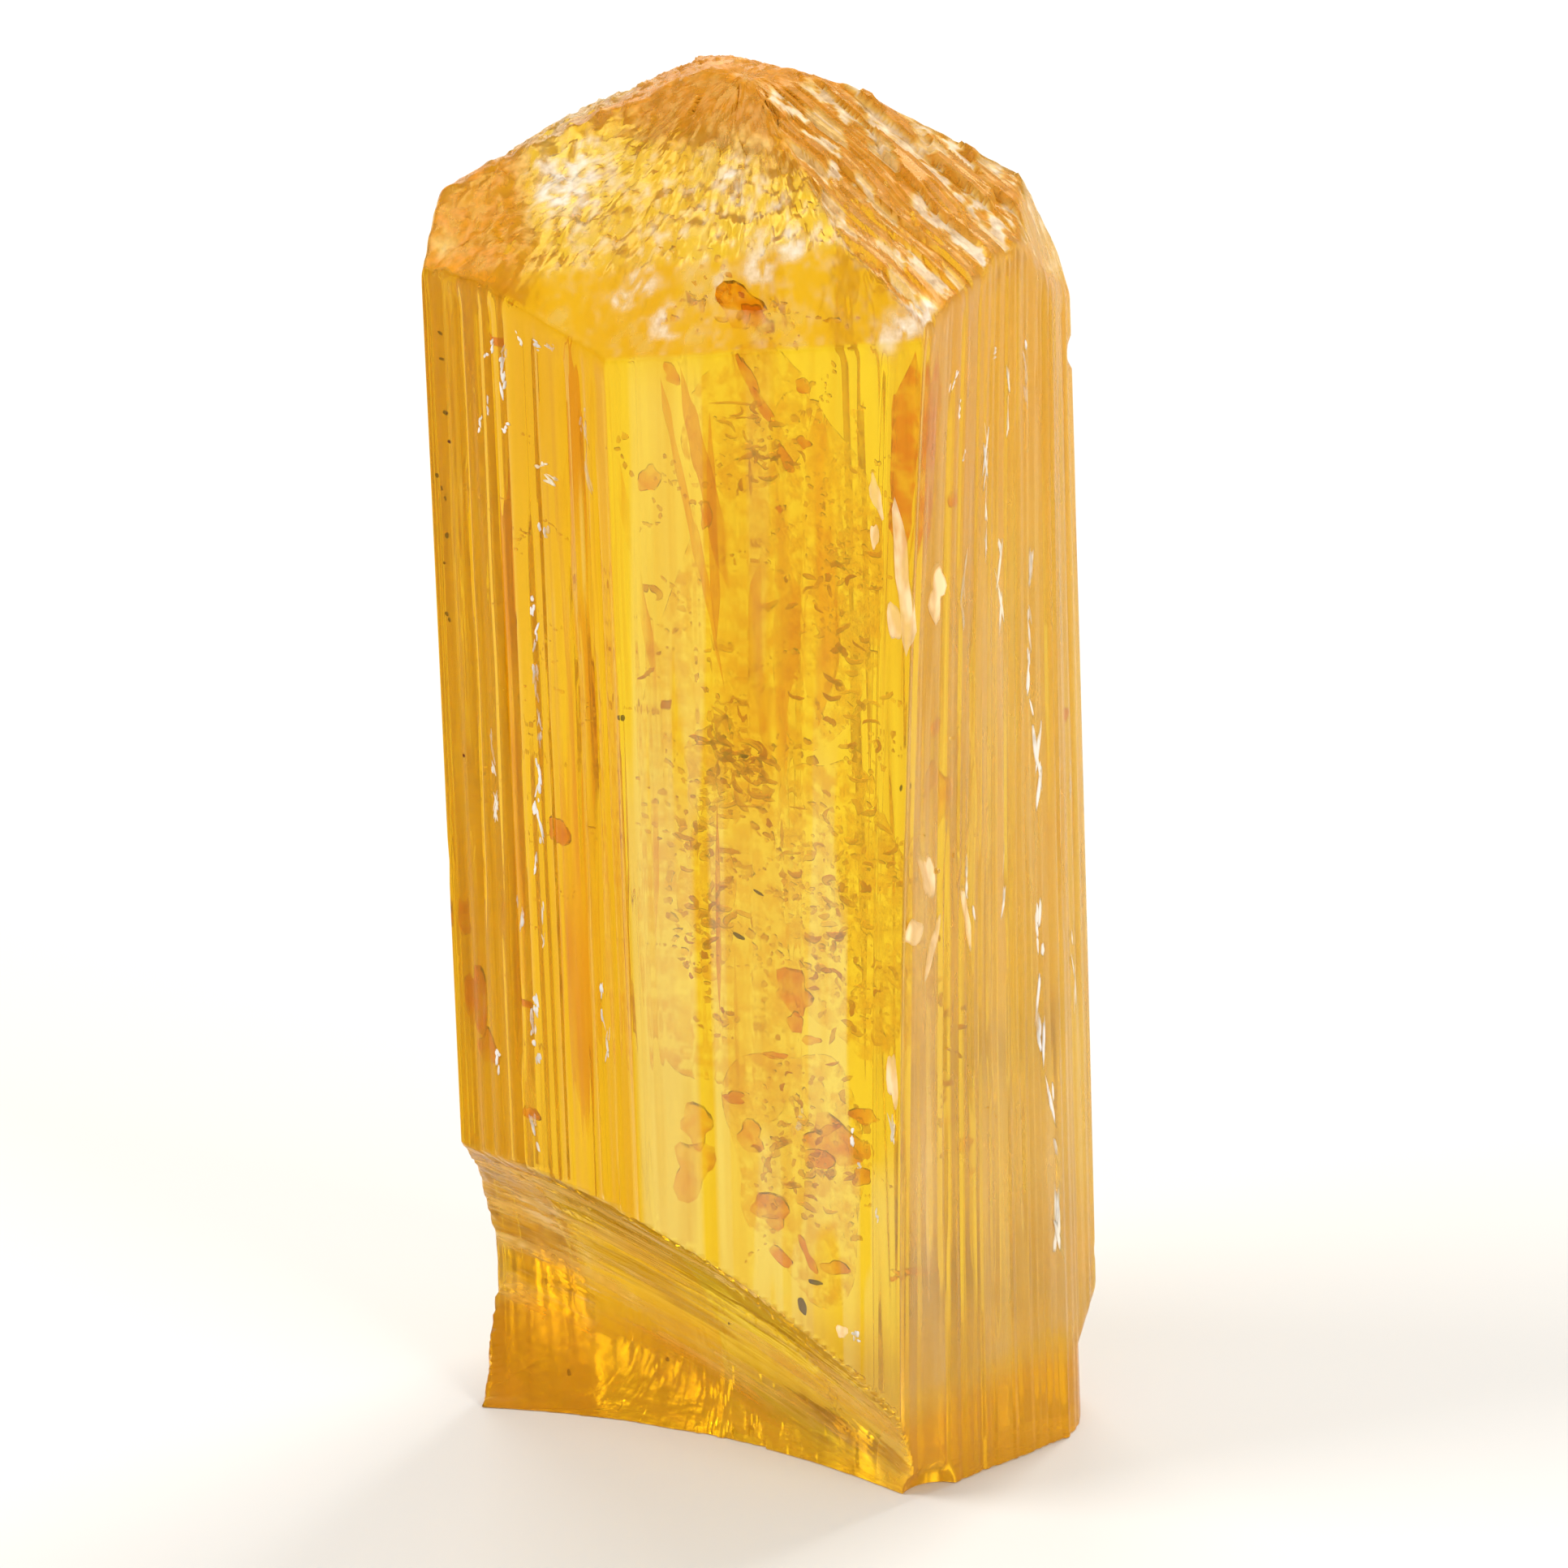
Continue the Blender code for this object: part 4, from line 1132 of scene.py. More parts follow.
def gathered(parts: list[tuple[np.ndarray, np.ndarray, float]]) -> tuple[np.ndarray, np.ndarray, np.ndarray]:
    """Join meshes into one.

    Args:
        parts: Points, faces and shade of each.

    Returns:
        Points, faces and the shade at each point.
    """
    starts = np.cumsum([0] + [len(points) for points, _, _ in parts])
    return (np.concatenate([points for points, _, _ in parts]),
            np.concatenate([faces + start for (_, faces, _), start in zip(parts, starts)]),
            np.concatenate([np.full(len(points), shade) for points, _, shade in parts]))


# Finishes


class Wires:
    """Short ways to add and join shader nodes in one tree."""

    def __init__(self, tree: bpy.types.NodeTree) -> None:
        """Keep the tree."""
        self.tree = tree

    def add(self, kind: str, **values: object) -> bpy.types.Node:
        """Add a node and set its properties and sockets.

        Args:
            kind: Blender's type name of the node.
            **values: Properties of the node, or socket values where no property has that name.

        Returns:
            The node.
        """
        node = self.tree.nodes.new(kind)
        for key, value in values.items():
            if hasattr(node, key):
                setattr(node, key, value)
            else:
                node.inputs[key.replace("_", " ")].default_value = value
        return node

    def join(self, start: bpy.types.NodeSocket, end: bpy.types.NodeSocket) -> None:
        """Join two sockets."""
        self.tree.links.new(start, end)

    def feed(self, value: object, socket: bpy.types.NodeSocket) -> None:
        """Join a socket to another, or set it to a plain number or colour."""
        if isinstance(value, bpy.types.NodeSocket):
            self.join(value, socket)
        else:
            socket.default_value = value

    def maths(self, kind: str, a: object, b: object = 0.0, c: object = 0.0) -> bpy.types.NodeSocket:
        """A Math node over sockets or plain numbers, and its output."""
        node = self.add("ShaderNodeMath", operation=kind)
        for socket, value in zip(node.inputs, (a, b, c)):
            self.feed(value, socket)
        return node.outputs[0]

    def attribute(self, name: str) -> bpy.types.NodeSocket:
        """An Attribute node for a number kept on the mesh, and its output."""
        return self.add("ShaderNodeAttribute", attribute_name=name).outputs["Fac"]

    def place(self) -> bpy.types.NodeSocket:
        """Object coordinates."""
        return self.add("ShaderNodeTexCoord").outputs["Object"]

    def mapped(self, place: bpy.types.NodeSocket, **values: object) -> bpy.types.NodeSocket:
        """A Mapping node with the values given, and its output."""
        node = self.add("ShaderNodeMapping", **values)
        self.join(place, node.inputs["Vector"])
        return node.outputs[0]

    def noise(self, place: bpy.types.NodeSocket, scale: object, detail: float,
              roughness: float = 0.5) -> bpy.types.NodeSocket:
        """A Noise Texture node at a place, and its output."""
        node = self.add("ShaderNodeTexNoise", Detail=detail, Roughness=roughness)
        self.join(place, node.inputs["Vector"])
        self.feed(scale, node.inputs["Scale"])
        return node.outputs[0]

    def ramp(self, value: bpy.types.NodeSocket, start: float, end: float, least: float = 0.0,
             most: float = 1.0) -> bpy.types.NodeSocket:
        """A smooth Map Range node from (start, end) to (least, most), and its output."""
        node = self.add("ShaderNodeMapRange", interpolation_type="SMOOTHSTEP", From_Min=start, From_Max=end,
                        To_Min=least, To_Max=most)
        self.join(value, node.inputs["Value"])
        return node.outputs[0]

    def bump(self, height: bpy.types.NodeSocket, strength: float, depth: float, shader: bpy.types.Node) -> None:
        """A Bump node that feeds the shader's Normal."""
        bump = self.add("ShaderNodeBump", Strength=strength, Distance=depth)
        self.join(height, bump.inputs["Height"])
        self.join(bump.outputs[0], shader.inputs["Normal"])

    def blend(self, share: object, a: object, b: object) -> bpy.types.NodeSocket:
        """A colour Mix node between sockets or plain colours, and its output."""
        node = self.add("ShaderNodeMix", data_type="RGBA")
        for name, value in (("Factor", share), ("A", a), ("B", b)):
            self.feed(value, next(s for s in node.inputs if s.name == name and s.enabled))
        return next(s for s in node.outputs if s.enabled)


def new_material(name: str) -> tuple[bpy.types.Material, Wires, bpy.types.Node]:
    """A material that uses nodes, the wires of its tree, and its Principled shader."""
    material = bpy.data.materials.new(name)
    material.use_nodes = True
    return material, Wires(material.node_tree), material.node_tree.nodes["Principled BSDF"]


def linear(red: int, green: int, blue: int) -> tuple[float, float, float, float]:
    """Linear colour with full alpha from 0-255 display values."""
    def one(value: int) -> float:
        v = value / 255.0
        return v / 12.92 if v <= 0.04045 else ((v + 0.055) / 1.055) ** 2.4
    return one(red), one(green), one(blue), 1.0


def growth_grain_group(hollow: Hollow) -> bpy.types.NodeTree:
    """Node group of fine noise: drawn out up the crystal, drawn out along the hollow's long axis, and even.

    Args:
        hollow: The hollow, for the turn of its long axis.

    Returns:
        A group with outputs Streak, Hackle and Grain, all from 0 to 1.
    """
    group = bpy.data.node_groups.new("GrowthGrain", "ShaderNodeTree")
    group.interface.new_socket("Fineness", in_out="INPUT", socket_type="NodeSocketFloat").default_value = 1.0
    for name in ("Streak", "Hackle", "Grain"):
        group.interface.new_socket(name, in_out="OUTPUT", socket_type="NodeSocketFloat")
    w = Wires(group)
    start, end = w.add("NodeGroupInput"), w.add("NodeGroupOutput")
    place = w.place()
    upright = w.mapped(place, Scale=(1.0, 1.0, 0.035))
    beside = w.mapped(place, vector_type="TEXTURE", Scale=(18.0, 1.0, 1.0),
                      Rotation=tuple(math.radians(angle) for angle in hollow.turn))
    for name, spot, scale, detail, roughness in (("Streak", upright, 2600.0, 2.0, 0.6),
                                                 ("Grain", place, 1400.0, 2.0, 0.6),
                                                 ("Hackle", beside, 1500.0, 3.0, 0.68)):
        fineness = w.maths("MULTIPLY", start.outputs["Fineness"], scale)
        w.join(w.noise(spot, fineness, detail, roughness), end.inputs[name])
    return group


@dataclass(frozen=True)
class AmberBody:
    """Finish of the crystal's skin: plain clear transmission, with its tint, roughness and relief from the zones.

    Attributes:
        clear: Tint of the yellow stone.
        window: Tint of the palest windows.
        deep: Tint of the deep amber left side and of the foot.
        milky: Tint of the milky right side.
        ochre: Tint of the growth bands.
        frost_and_glints: Tint of the whitened spots: frosted spots, and glints that are painted highlights.
        olive: Tint of the darker streaks in the hollow.
        sheen: Tint of the reflections.
        absorb: Colour that the body lets through.
        density: How strongly the body absorbs, per metre.
        through: Plain transmission weight.
        index: Index of refraction of the stone.
        bump_depth: Depth of the fine relief, in metres.
    """

    clear: tuple = linear(252, 226, 70)
    window: tuple = linear(255, 251, 214)
    deep: tuple = linear(248, 192, 16)
    milky: tuple = linear(252, 224, 150)
    ochre: tuple = linear(222, 158, 24)
    # White of the frosted spots and of the glints, which are painted highlights
    frost_and_glints: tuple = linear(255, 246, 234)
    olive: tuple = linear(190, 140, 16)
    sheen: tuple = (1.0, 0.76, 0.18, 1.0)
    absorb: tuple = (0.988, 0.90, 0.12, 1.0)
    density: float = 190.0
    through: float = 0.84
    index: float = 1.62
    bump_depth: float = 0.00005

    def roughness(self, w: Wires, zones: dict, streak: bpy.types.NodeSocket) -> bpy.types.NodeSocket:
        """Roughness: low in the windows, more on the milky side, the etched roof and the frosted spots."""
        rough = w.maths("MULTIPLY_ADD", zones["milk"], 0.26, 0.02)
        rough = w.maths("MULTIPLY_ADD", zones["etch"], 0.24, rough)
        rough = w.maths("MULTIPLY_ADD", zones["frost_and_glints"], 0.40, rough)
        return w.maths("MULTIPLY_ADD", w.maths("MULTIPLY", streak, zones["fibre"]), 0.12, rough)

    def relief(self, w: Wires, zones: dict, grain: bpy.types.Node) -> bpy.types.NodeSocket:
        """Relief height: upright fibres on the sides, and grain on the roof, in the hollow and at the foot."""
        height = w.maths("MULTIPLY", grain.outputs["Streak"], w.maths("MULTIPLY", zones["fibre"], 1.6))
        height = w.maths("MULTIPLY_ADD", grain.outputs["Hackle"], w.maths("MULTIPLY", zones["hackle"], 3.0), height)
        return w.maths("MULTIPLY_ADD", grain.outputs["Grain"], w.maths("MULTIPLY", zones["etch"], 1.6), height)

    def build(self, grain: bpy.types.NodeTree) -> bpy.types.Material:
        """Make the material.

        Args:
            grain: The growth grain group.

        Returns:
            The material.
        """
        material, w, shader = new_material("amber_body")
        output = material.node_tree.nodes["Material Output"]
        shader.inputs["IOR"].default_value = self.index
        shader.inputs["Metallic"].default_value = 0.0
        shader.inputs["Transmission Weight"].default_value = self.through
        shader.inputs["Specular Tint"].default_value = self.sheen
        volume = w.add("ShaderNodeVolumeAbsorption", Color=self.absorb, Density=self.density)
        w.join(volume.outputs[0], output.inputs["Volume"])
        streaks = w.add("ShaderNodeGroup", node_tree=grain)
        zones = {name: w.attribute(name)
                 for name in ("deep", "milk", "etch", "frost_and_glints", "band", "fibre", "pale", "hackle")}
        colour = self.clear
        for zone, tint in (("deep", self.deep), ("pale", self.window), ("milk", self.milky), ("band", self.ochre),
                           ("frost_and_glints", self.frost_and_glints)):
            colour = w.blend(zones[zone], colour, tint)
        shaded = w.ramp(streaks.outputs["Hackle"], 0.46, 0.60)
        colour = w.blend(w.maths("MULTIPLY", shaded, zones["hackle"]), colour, self.olive)
        w.join(colour, shader.inputs["Base Color"])
        w.join(self.roughness(w, zones, streaks.outputs["Streak"]), shader.inputs["Roughness"])
        w.bump(self.relief(w, zones, streaks), 0.5, self.bump_depth, shader)
        return material


@dataclass(frozen=True)
class Frosting:
    """Finish of the thin frosting: matt, white to orange, and see-through where there is little of it.

    Attributes:
        white: Colour of clean frosting.
        honey: Colour half way.
        orange: Colour at the foot.
        roughness: Roughness all over.
        index: Index of refraction.
    """

    white: tuple = linear(255, 242, 218)
    honey: tuple = linear(250, 202, 98)
    orange: tuple = linear(242, 158, 14)
    roughness: float = 0.42
    index: float = 1.4

    def build(self, grain: bpy.types.NodeTree) -> bpy.types.Material:
        """Make the material: the cover attribute, broken up by streaks and by grain, drives Alpha.

        Args:
            grain: The growth grain group.

        Returns:
            The material.
        """
        material, w, shader = new_material("frosting")
        shader.inputs["Roughness"].default_value = self.roughness
        shader.inputs["IOR"].default_value = self.index
        cover, warm, upright, hackle = (w.attribute(name) for name in ("cover", "warm", "upright", "hackle"))
        noise = w.add("ShaderNodeGroup", node_tree=grain)
        noise.inputs["Fineness"].default_value = 1.3
        lumps = w.noise(w.place(), 4200.0, 2.0, 0.6)
        streak = w.blend(upright, lumps, noise.outputs["Streak"])
        broken = w.maths("ADD", w.maths("MULTIPLY", streak, 1.4), w.maths("MULTIPLY", noise.outputs["Grain"], 0.6))
        torn = w.ramp(noise.outputs["Hackle"], 0.44, 0.62, 0.0, 1.9)
        share = w.blend(hackle, broken, torn)
        alpha = w.maths("MULTIPLY", cover, w.maths("MULTIPLY", share, 0.8))
        clamp = w.add("ShaderNodeClamp")
        w.join(alpha, clamp.inputs[0])
        w.join(clamp.outputs[0], shader.inputs["Alpha"])
        low = w.blend(w.maths("MULTIPLY", warm, 2.0), self.white, self.honey)
        high = w.maths("MAXIMUM", w.maths("MULTIPLY_ADD", warm, 2.0, -1.0), 0.0)
        w.join(w.blend(high, low, self.orange), shader.inputs["Base Color"])
        return material


@dataclass(frozen=True)
class FlawFinish:
    """Finish of an inner flaw, or of the glints, which are painted highlights.

    Attributes:
        name: Material name.
        dark: Colour of its darker flakes.
        light: Colour of its lighter flakes.
        roughness: Roughness all over.
        through: Plain transmission weight.
        index: Plain index of refraction.
        mottle: How far noise moves the shade.
        cover: Least and greatest alpha, with patches of noise between them.
        upright: How much the patches are drawn out up the crystal: 1 is not at all.
        crumple: Strength of the relief.
        fineness: How much finer than usual the patches are.
        glow: Strength of its emission, painted light that stands in for light scattered from behind.
        bump_depth: Depth of the crumpling, in metres.
    """

    name: str
    dark: tuple
    light: tuple
    roughness: float
    through: float
    index: float = 1.1
    mottle: float = 0.5
    cover: tuple[float, float] = (1.0, 1.0)
    upright: float = 1.0
    crumple: float = 0.5
    fineness: float = 1.0
    glow: float = 0.0
    bump_depth: float = 0.00015

    def build(self) -> bpy.types.Material:
        """Make the material: noise moves each flake's shade, opens holes in it and crumples it."""
        material, w, shader = new_material(self.name)
        shader.inputs["Roughness"].default_value = self.roughness
        shader.inputs["Transmission Weight"].default_value = self.through
        shader.inputs["IOR"].default_value = self.index
        # Emission: painted light, a glow though the flaw is no lamp
        shader.inputs["Emission Color"].default_value = self.light
        shader.inputs["Emission Strength"].default_value = self.glow
        drawn = w.mapped(w.place(), Scale=(1.0, 1.0, 1.0 / self.upright))
        patches = w.noise(drawn, 1500.0 * self.fineness, 2.5, 0.65)
        fine = w.noise(drawn, 2600.0, 1.0)
        shade = w.attribute("shade")
        moved = w.maths("ADD", shade, w.maths("MULTIPLY_ADD", fine, 2.0 * self.mottle, -self.mottle))
        w.join(w.blend(moved, self.dark, self.light), shader.inputs["Base Color"])
        if self.cover[0] < 1.0:
            w.join(w.ramp(patches, 0.40, 0.58, *self.cover), shader.inputs["Alpha"])
        w.bump(patches, self.crumple, self.bump_depth, shader)
        return material


@dataclass
class Flaws:
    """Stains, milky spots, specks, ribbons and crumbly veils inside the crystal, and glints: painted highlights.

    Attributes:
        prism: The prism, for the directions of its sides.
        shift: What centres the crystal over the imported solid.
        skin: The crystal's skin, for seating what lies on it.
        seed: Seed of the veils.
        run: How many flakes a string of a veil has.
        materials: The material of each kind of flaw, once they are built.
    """

    prism: Prism
    shift: np.ndarray
    skin: BVHTree
    seed: int = 303
    run: int = 6
    materials: dict[str, bpy.types.Material] = field(default_factory=dict)

    def finishes(self) -> dict[str, FlawFinish]:
        """The finish of each kind of flaw."""
        return {
            "stain": FlawFinish("stain", linear(252, 214, 60), linear(238, 146, 26), roughness=0.12, through=0.93,
                                index=1.06, cover=(0.35, 1.0), crumple=0.8),
            "band": FlawFinish("growth_band", linear(248, 208, 30), linear(222, 146, 16), roughness=0.08,
                               through=0.96, index=1.03, cover=(0.0, 1.0), upright=16.0, crumple=0.3),
            # Milky spots: their emission glow is painted light
            "milk": FlawFinish("milky_spot", linear(255, 230, 190), linear(255, 214, 140), roughness=0.5,
                               through=0.15, index=1.2, mottle=0.2, cover=(0.35, 0.9), upright=3.0, crumple=0.3,
                               glow=0.22),
            # Glints: near-opaque white, painted highlights
            "glint": FlawFinish("glint", linear(255, 250, 244), linear(255, 232, 180), roughness=0.35, through=0.05,
                                index=1.3, mottle=0.2, cover=(0.2, 1.0), upright=3.0, crumple=0.3),
            "speck": FlawFinish("speck", linear(96, 36, 8), linear(150, 70, 20), roughness=0.6, through=0.0,
                                index=1.3, mottle=0.3),
            # Crumbs: their faint emission glow is painted light
            "crumb": FlawFinish("crumb", linear(188, 106, 6), linear(255, 238, 150), roughness=0.05, through=0.93,
                                index=1.13, mottle=0.35, cover=(0.55, 1.0), crumple=0.9, glow=0.03),
            "crumple": FlawFinish("crumpled_veil", linear(240, 192, 40), linear(255, 244, 170), roughness=0.03,
                                  through=0.97, index=1.2, mottle=0.9, cover=(0.0, 0.7), upright=1.4, crumple=1.0,
                                  fineness=2.2),
        }

    def add(self, name: str, kind: str, points: np.ndarray, faces: np.ndarray, shade: np.ndarray) -> None:
        """Write one piece of the flaws.

        Args:
            name: Piece name.
            kind: Its finish.
            points: Its points.
            faces: Its faces.
            shade: Shade at each point.
        """
        obj = write_mesh(name, points, faces, self.shift)
        store(obj, "shade", shade)
        obj.data.materials.append(self.materials[kind])
        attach(obj, "root")
        LOG.info("%s (%s): %d faces", name, kind, len(faces))

    def frame(self, side: int) -> np.ndarray:
        """Across, up and outward of one side."""
        return side_frames(self.prism, np.array([side]), np.zeros(1))[0]

    def seated(self, places: np.ndarray) -> np.ndarray:
        """The nearest point of the skin for each of a few places."""
        return np.array([self.skin.find_nearest(Vector(place))[0] for place in places])

    def shards(self, rows: np.ndarray, count: int = 5) -> np.ndarray:
        """Break each glint, a painted highlight, into a few small shards, scattered along it and across it.

        Args:
            rows: Rows of the table of glints.
            count: Shards for each.

        Returns:
            Rows of the same kind, more and smaller.
        """
        rng = np.random.default_rng(self.seed + 1)
        many = np.repeat(rows, count, axis=0)
        n = len(many)
        frames = side_frames(self.prism, many[:, 7].astype(int), many[:, 5])
        many[:, :3] += frames[:, 1] * (many[:, 4] * rng.uniform(-1.0, 1.0, n))[:, None]
        many[:, :3] += frames[:, 0] * (many[:, 3] * rng.uniform(-0.7, 0.7, n))[:, None]
        many[:, 3] *= rng.uniform(0.2, 0.62, n)
        many[:, 4] *= rng.uniform(0.12, 0.6, n)
        many[:, 5] += rng.uniform(-14.0, 14.0, n)
        return many

    def tables(self) -> None:
        """The single flaws, one piece for each table."""
        for kind, rows, thick in (("stain", STAIN, 0.14), ("milk", MILK, 0.06), ("glint", GLINT, 0.025),
                                  ("speck", SPECK, 0.03)):
            data = self.shards(np.array(rows)) if kind == "glint" else np.array(rows)
            frames = side_frames(self.prism, data[:, 7].astype(int), data[:, 5])
            if kind in ("glint", "milk"):
                data[:, :3] = self.seated(data[:, :3])
            small = np.minimum(data[:, 3], data[:, 4])
            sizes = np.stack([data[:, 3], data[:, 4], np.minimum(thick, small * 0.6)], 1)
            maker = Flakes(segments=18, rings=3, ragged={"speck": 0.12, "glint": 0.22}.get(kind, 0.30), seed=11)
            points, faces = maker.build(data[:, :3], frames, sizes)
            self.add(f"{kind}s", kind, points, faces, maker.per_point(data[:, 6]))

    def ribbons(self) -> None:
        """The ribbons, one piece for each finish."""
        for kind in ("stain", "band", "crumb", "speck"):
            parts = [(*ribbon(np.array(path), self.frame(side)[2], width), shade)
                     for width, shade, finish, side, path in RIBBONS if finish == kind]
            self.add(f"{kind}_ribbons", kind, *gathered(parts))

    def veils(self) -> None:
        """The crumbly veils: strings of small flakes that wander and curl round each veil's middle."""
        rng = np.random.default_rng(self.seed)
        for number, (middle, spread, count, size, shade, side) in enumerate(VEILS):
            strings = max(1, count // self.run)
            n = strings * self.run
            frame = self.frame(side)
            start = np.clip(rng.normal(0.0, 0.55, (strings, 1, 3)), -1.1, 1.1) * np.array(spread)
            heading = rng.uniform(0.0, 2 * np.pi, (strings, 1)) + np.cumsum(
                rng.normal(0.0, 0.7, (strings, self.run)), axis=1)
            stride = 1.5 * size[1]
            steps = np.stack([np.cos(heading), np.sin(heading), rng.normal(0, 0.3, heading.shape)], -1) * stride
            local = (start + np.cumsum(steps, axis=1)).reshape(-1, 3)
            frames = side_frames(self.prism, np.full(n, side), np.degrees(np.pi / 2 - heading.ravel()))
            big = rng.uniform(size[0], size[1], n) * rng.uniform(0.5, 1.0, n)
            sizes = np.stack([big * rng.uniform(0.4, 1.0, n), big, np.full(n, 0.012)], 1)
            maker = Flakes(segments=8, rings=2, ragged=0.35, bend=0.5, seed=70 + number)
            points, faces = maker.build(np.array(middle) + local @ frame, tilted(frames, 0.6, rng), sizes)
            self.add(f"veil_{number + 1}", "crumb", points, faces,
                     maker.per_point(0.2 + 0.8 * rng.uniform(shade[0], shade[1], n)))

    def curls(self) -> None:
        """Curled edges of the crumbly veils: thin ribbons along short paths that bend as they go."""
        rng = np.random.default_rng(self.seed + 2)
        parts = []
        for middle, spread, count, length, side in CURLS:
            frame = self.frame(side)
            for _ in range(count):
                turn = rng.uniform(0.0, 2.0 * np.pi) + np.cumsum(rng.normal(rng.uniform(-0.5, 0.5), 0.35, 7))
                step = length * rng.uniform(0.4, 1.0) / 7.0
                way = np.stack([np.cos(turn), 0.8 * np.sin(turn), rng.normal(0.0, 0.25, 7)], -1) * step
                begin = np.clip(rng.normal(0.0, 0.5, 3), -1.0, 1.0) * np.array(spread)
                path = np.array(middle) + (begin + np.cumsum(way, axis=0)) @ frame
                parts.append((*ribbon(path, frame[2], rng.uniform(0.03, 0.085), 12, 6), rng.uniform(0.0, 0.7)))
        self.add("curls", "crumb", *gathered(parts))

    def crumples(self) -> None:
        """The crumpled veils: large ragged lenses with many rings, pushed in and out by layered noise."""
        for number, (middle, wide, high, lean, side) in enumerate(CRUMPLES):
            frame = side_frames(self.prism, np.array([side]), np.array([lean]))
            maker = Flakes(segments=72, rings=23, ragged=0.22, bend=0.15, seed=130 + number)
            points, faces = maker.build(np.array([middle]), frame, np.array([[wide, high, 0.06]]))
            push = 0.22 * layered_noise(points * 1.3, 140 + number, 3) + 0.10 * layered_noise(points * 4.0, 150, 2)
            points = points + push[:, None] * frame[0, 2]
            shade = 0.5 + 0.5 * layered_noise(points * 0.8, 160 + number, 2)
            self.add(f"crumpled_veil_{number + 1}", "crumple", points, faces, shade)

    def build(self) -> None:
        """Build every flaw."""
        self.materials = {kind: finish.build() for kind, finish in self.finishes().items()}
        self.tables()
        self.crumples()
        self.curls()
        self.ribbons()
        self.veils()


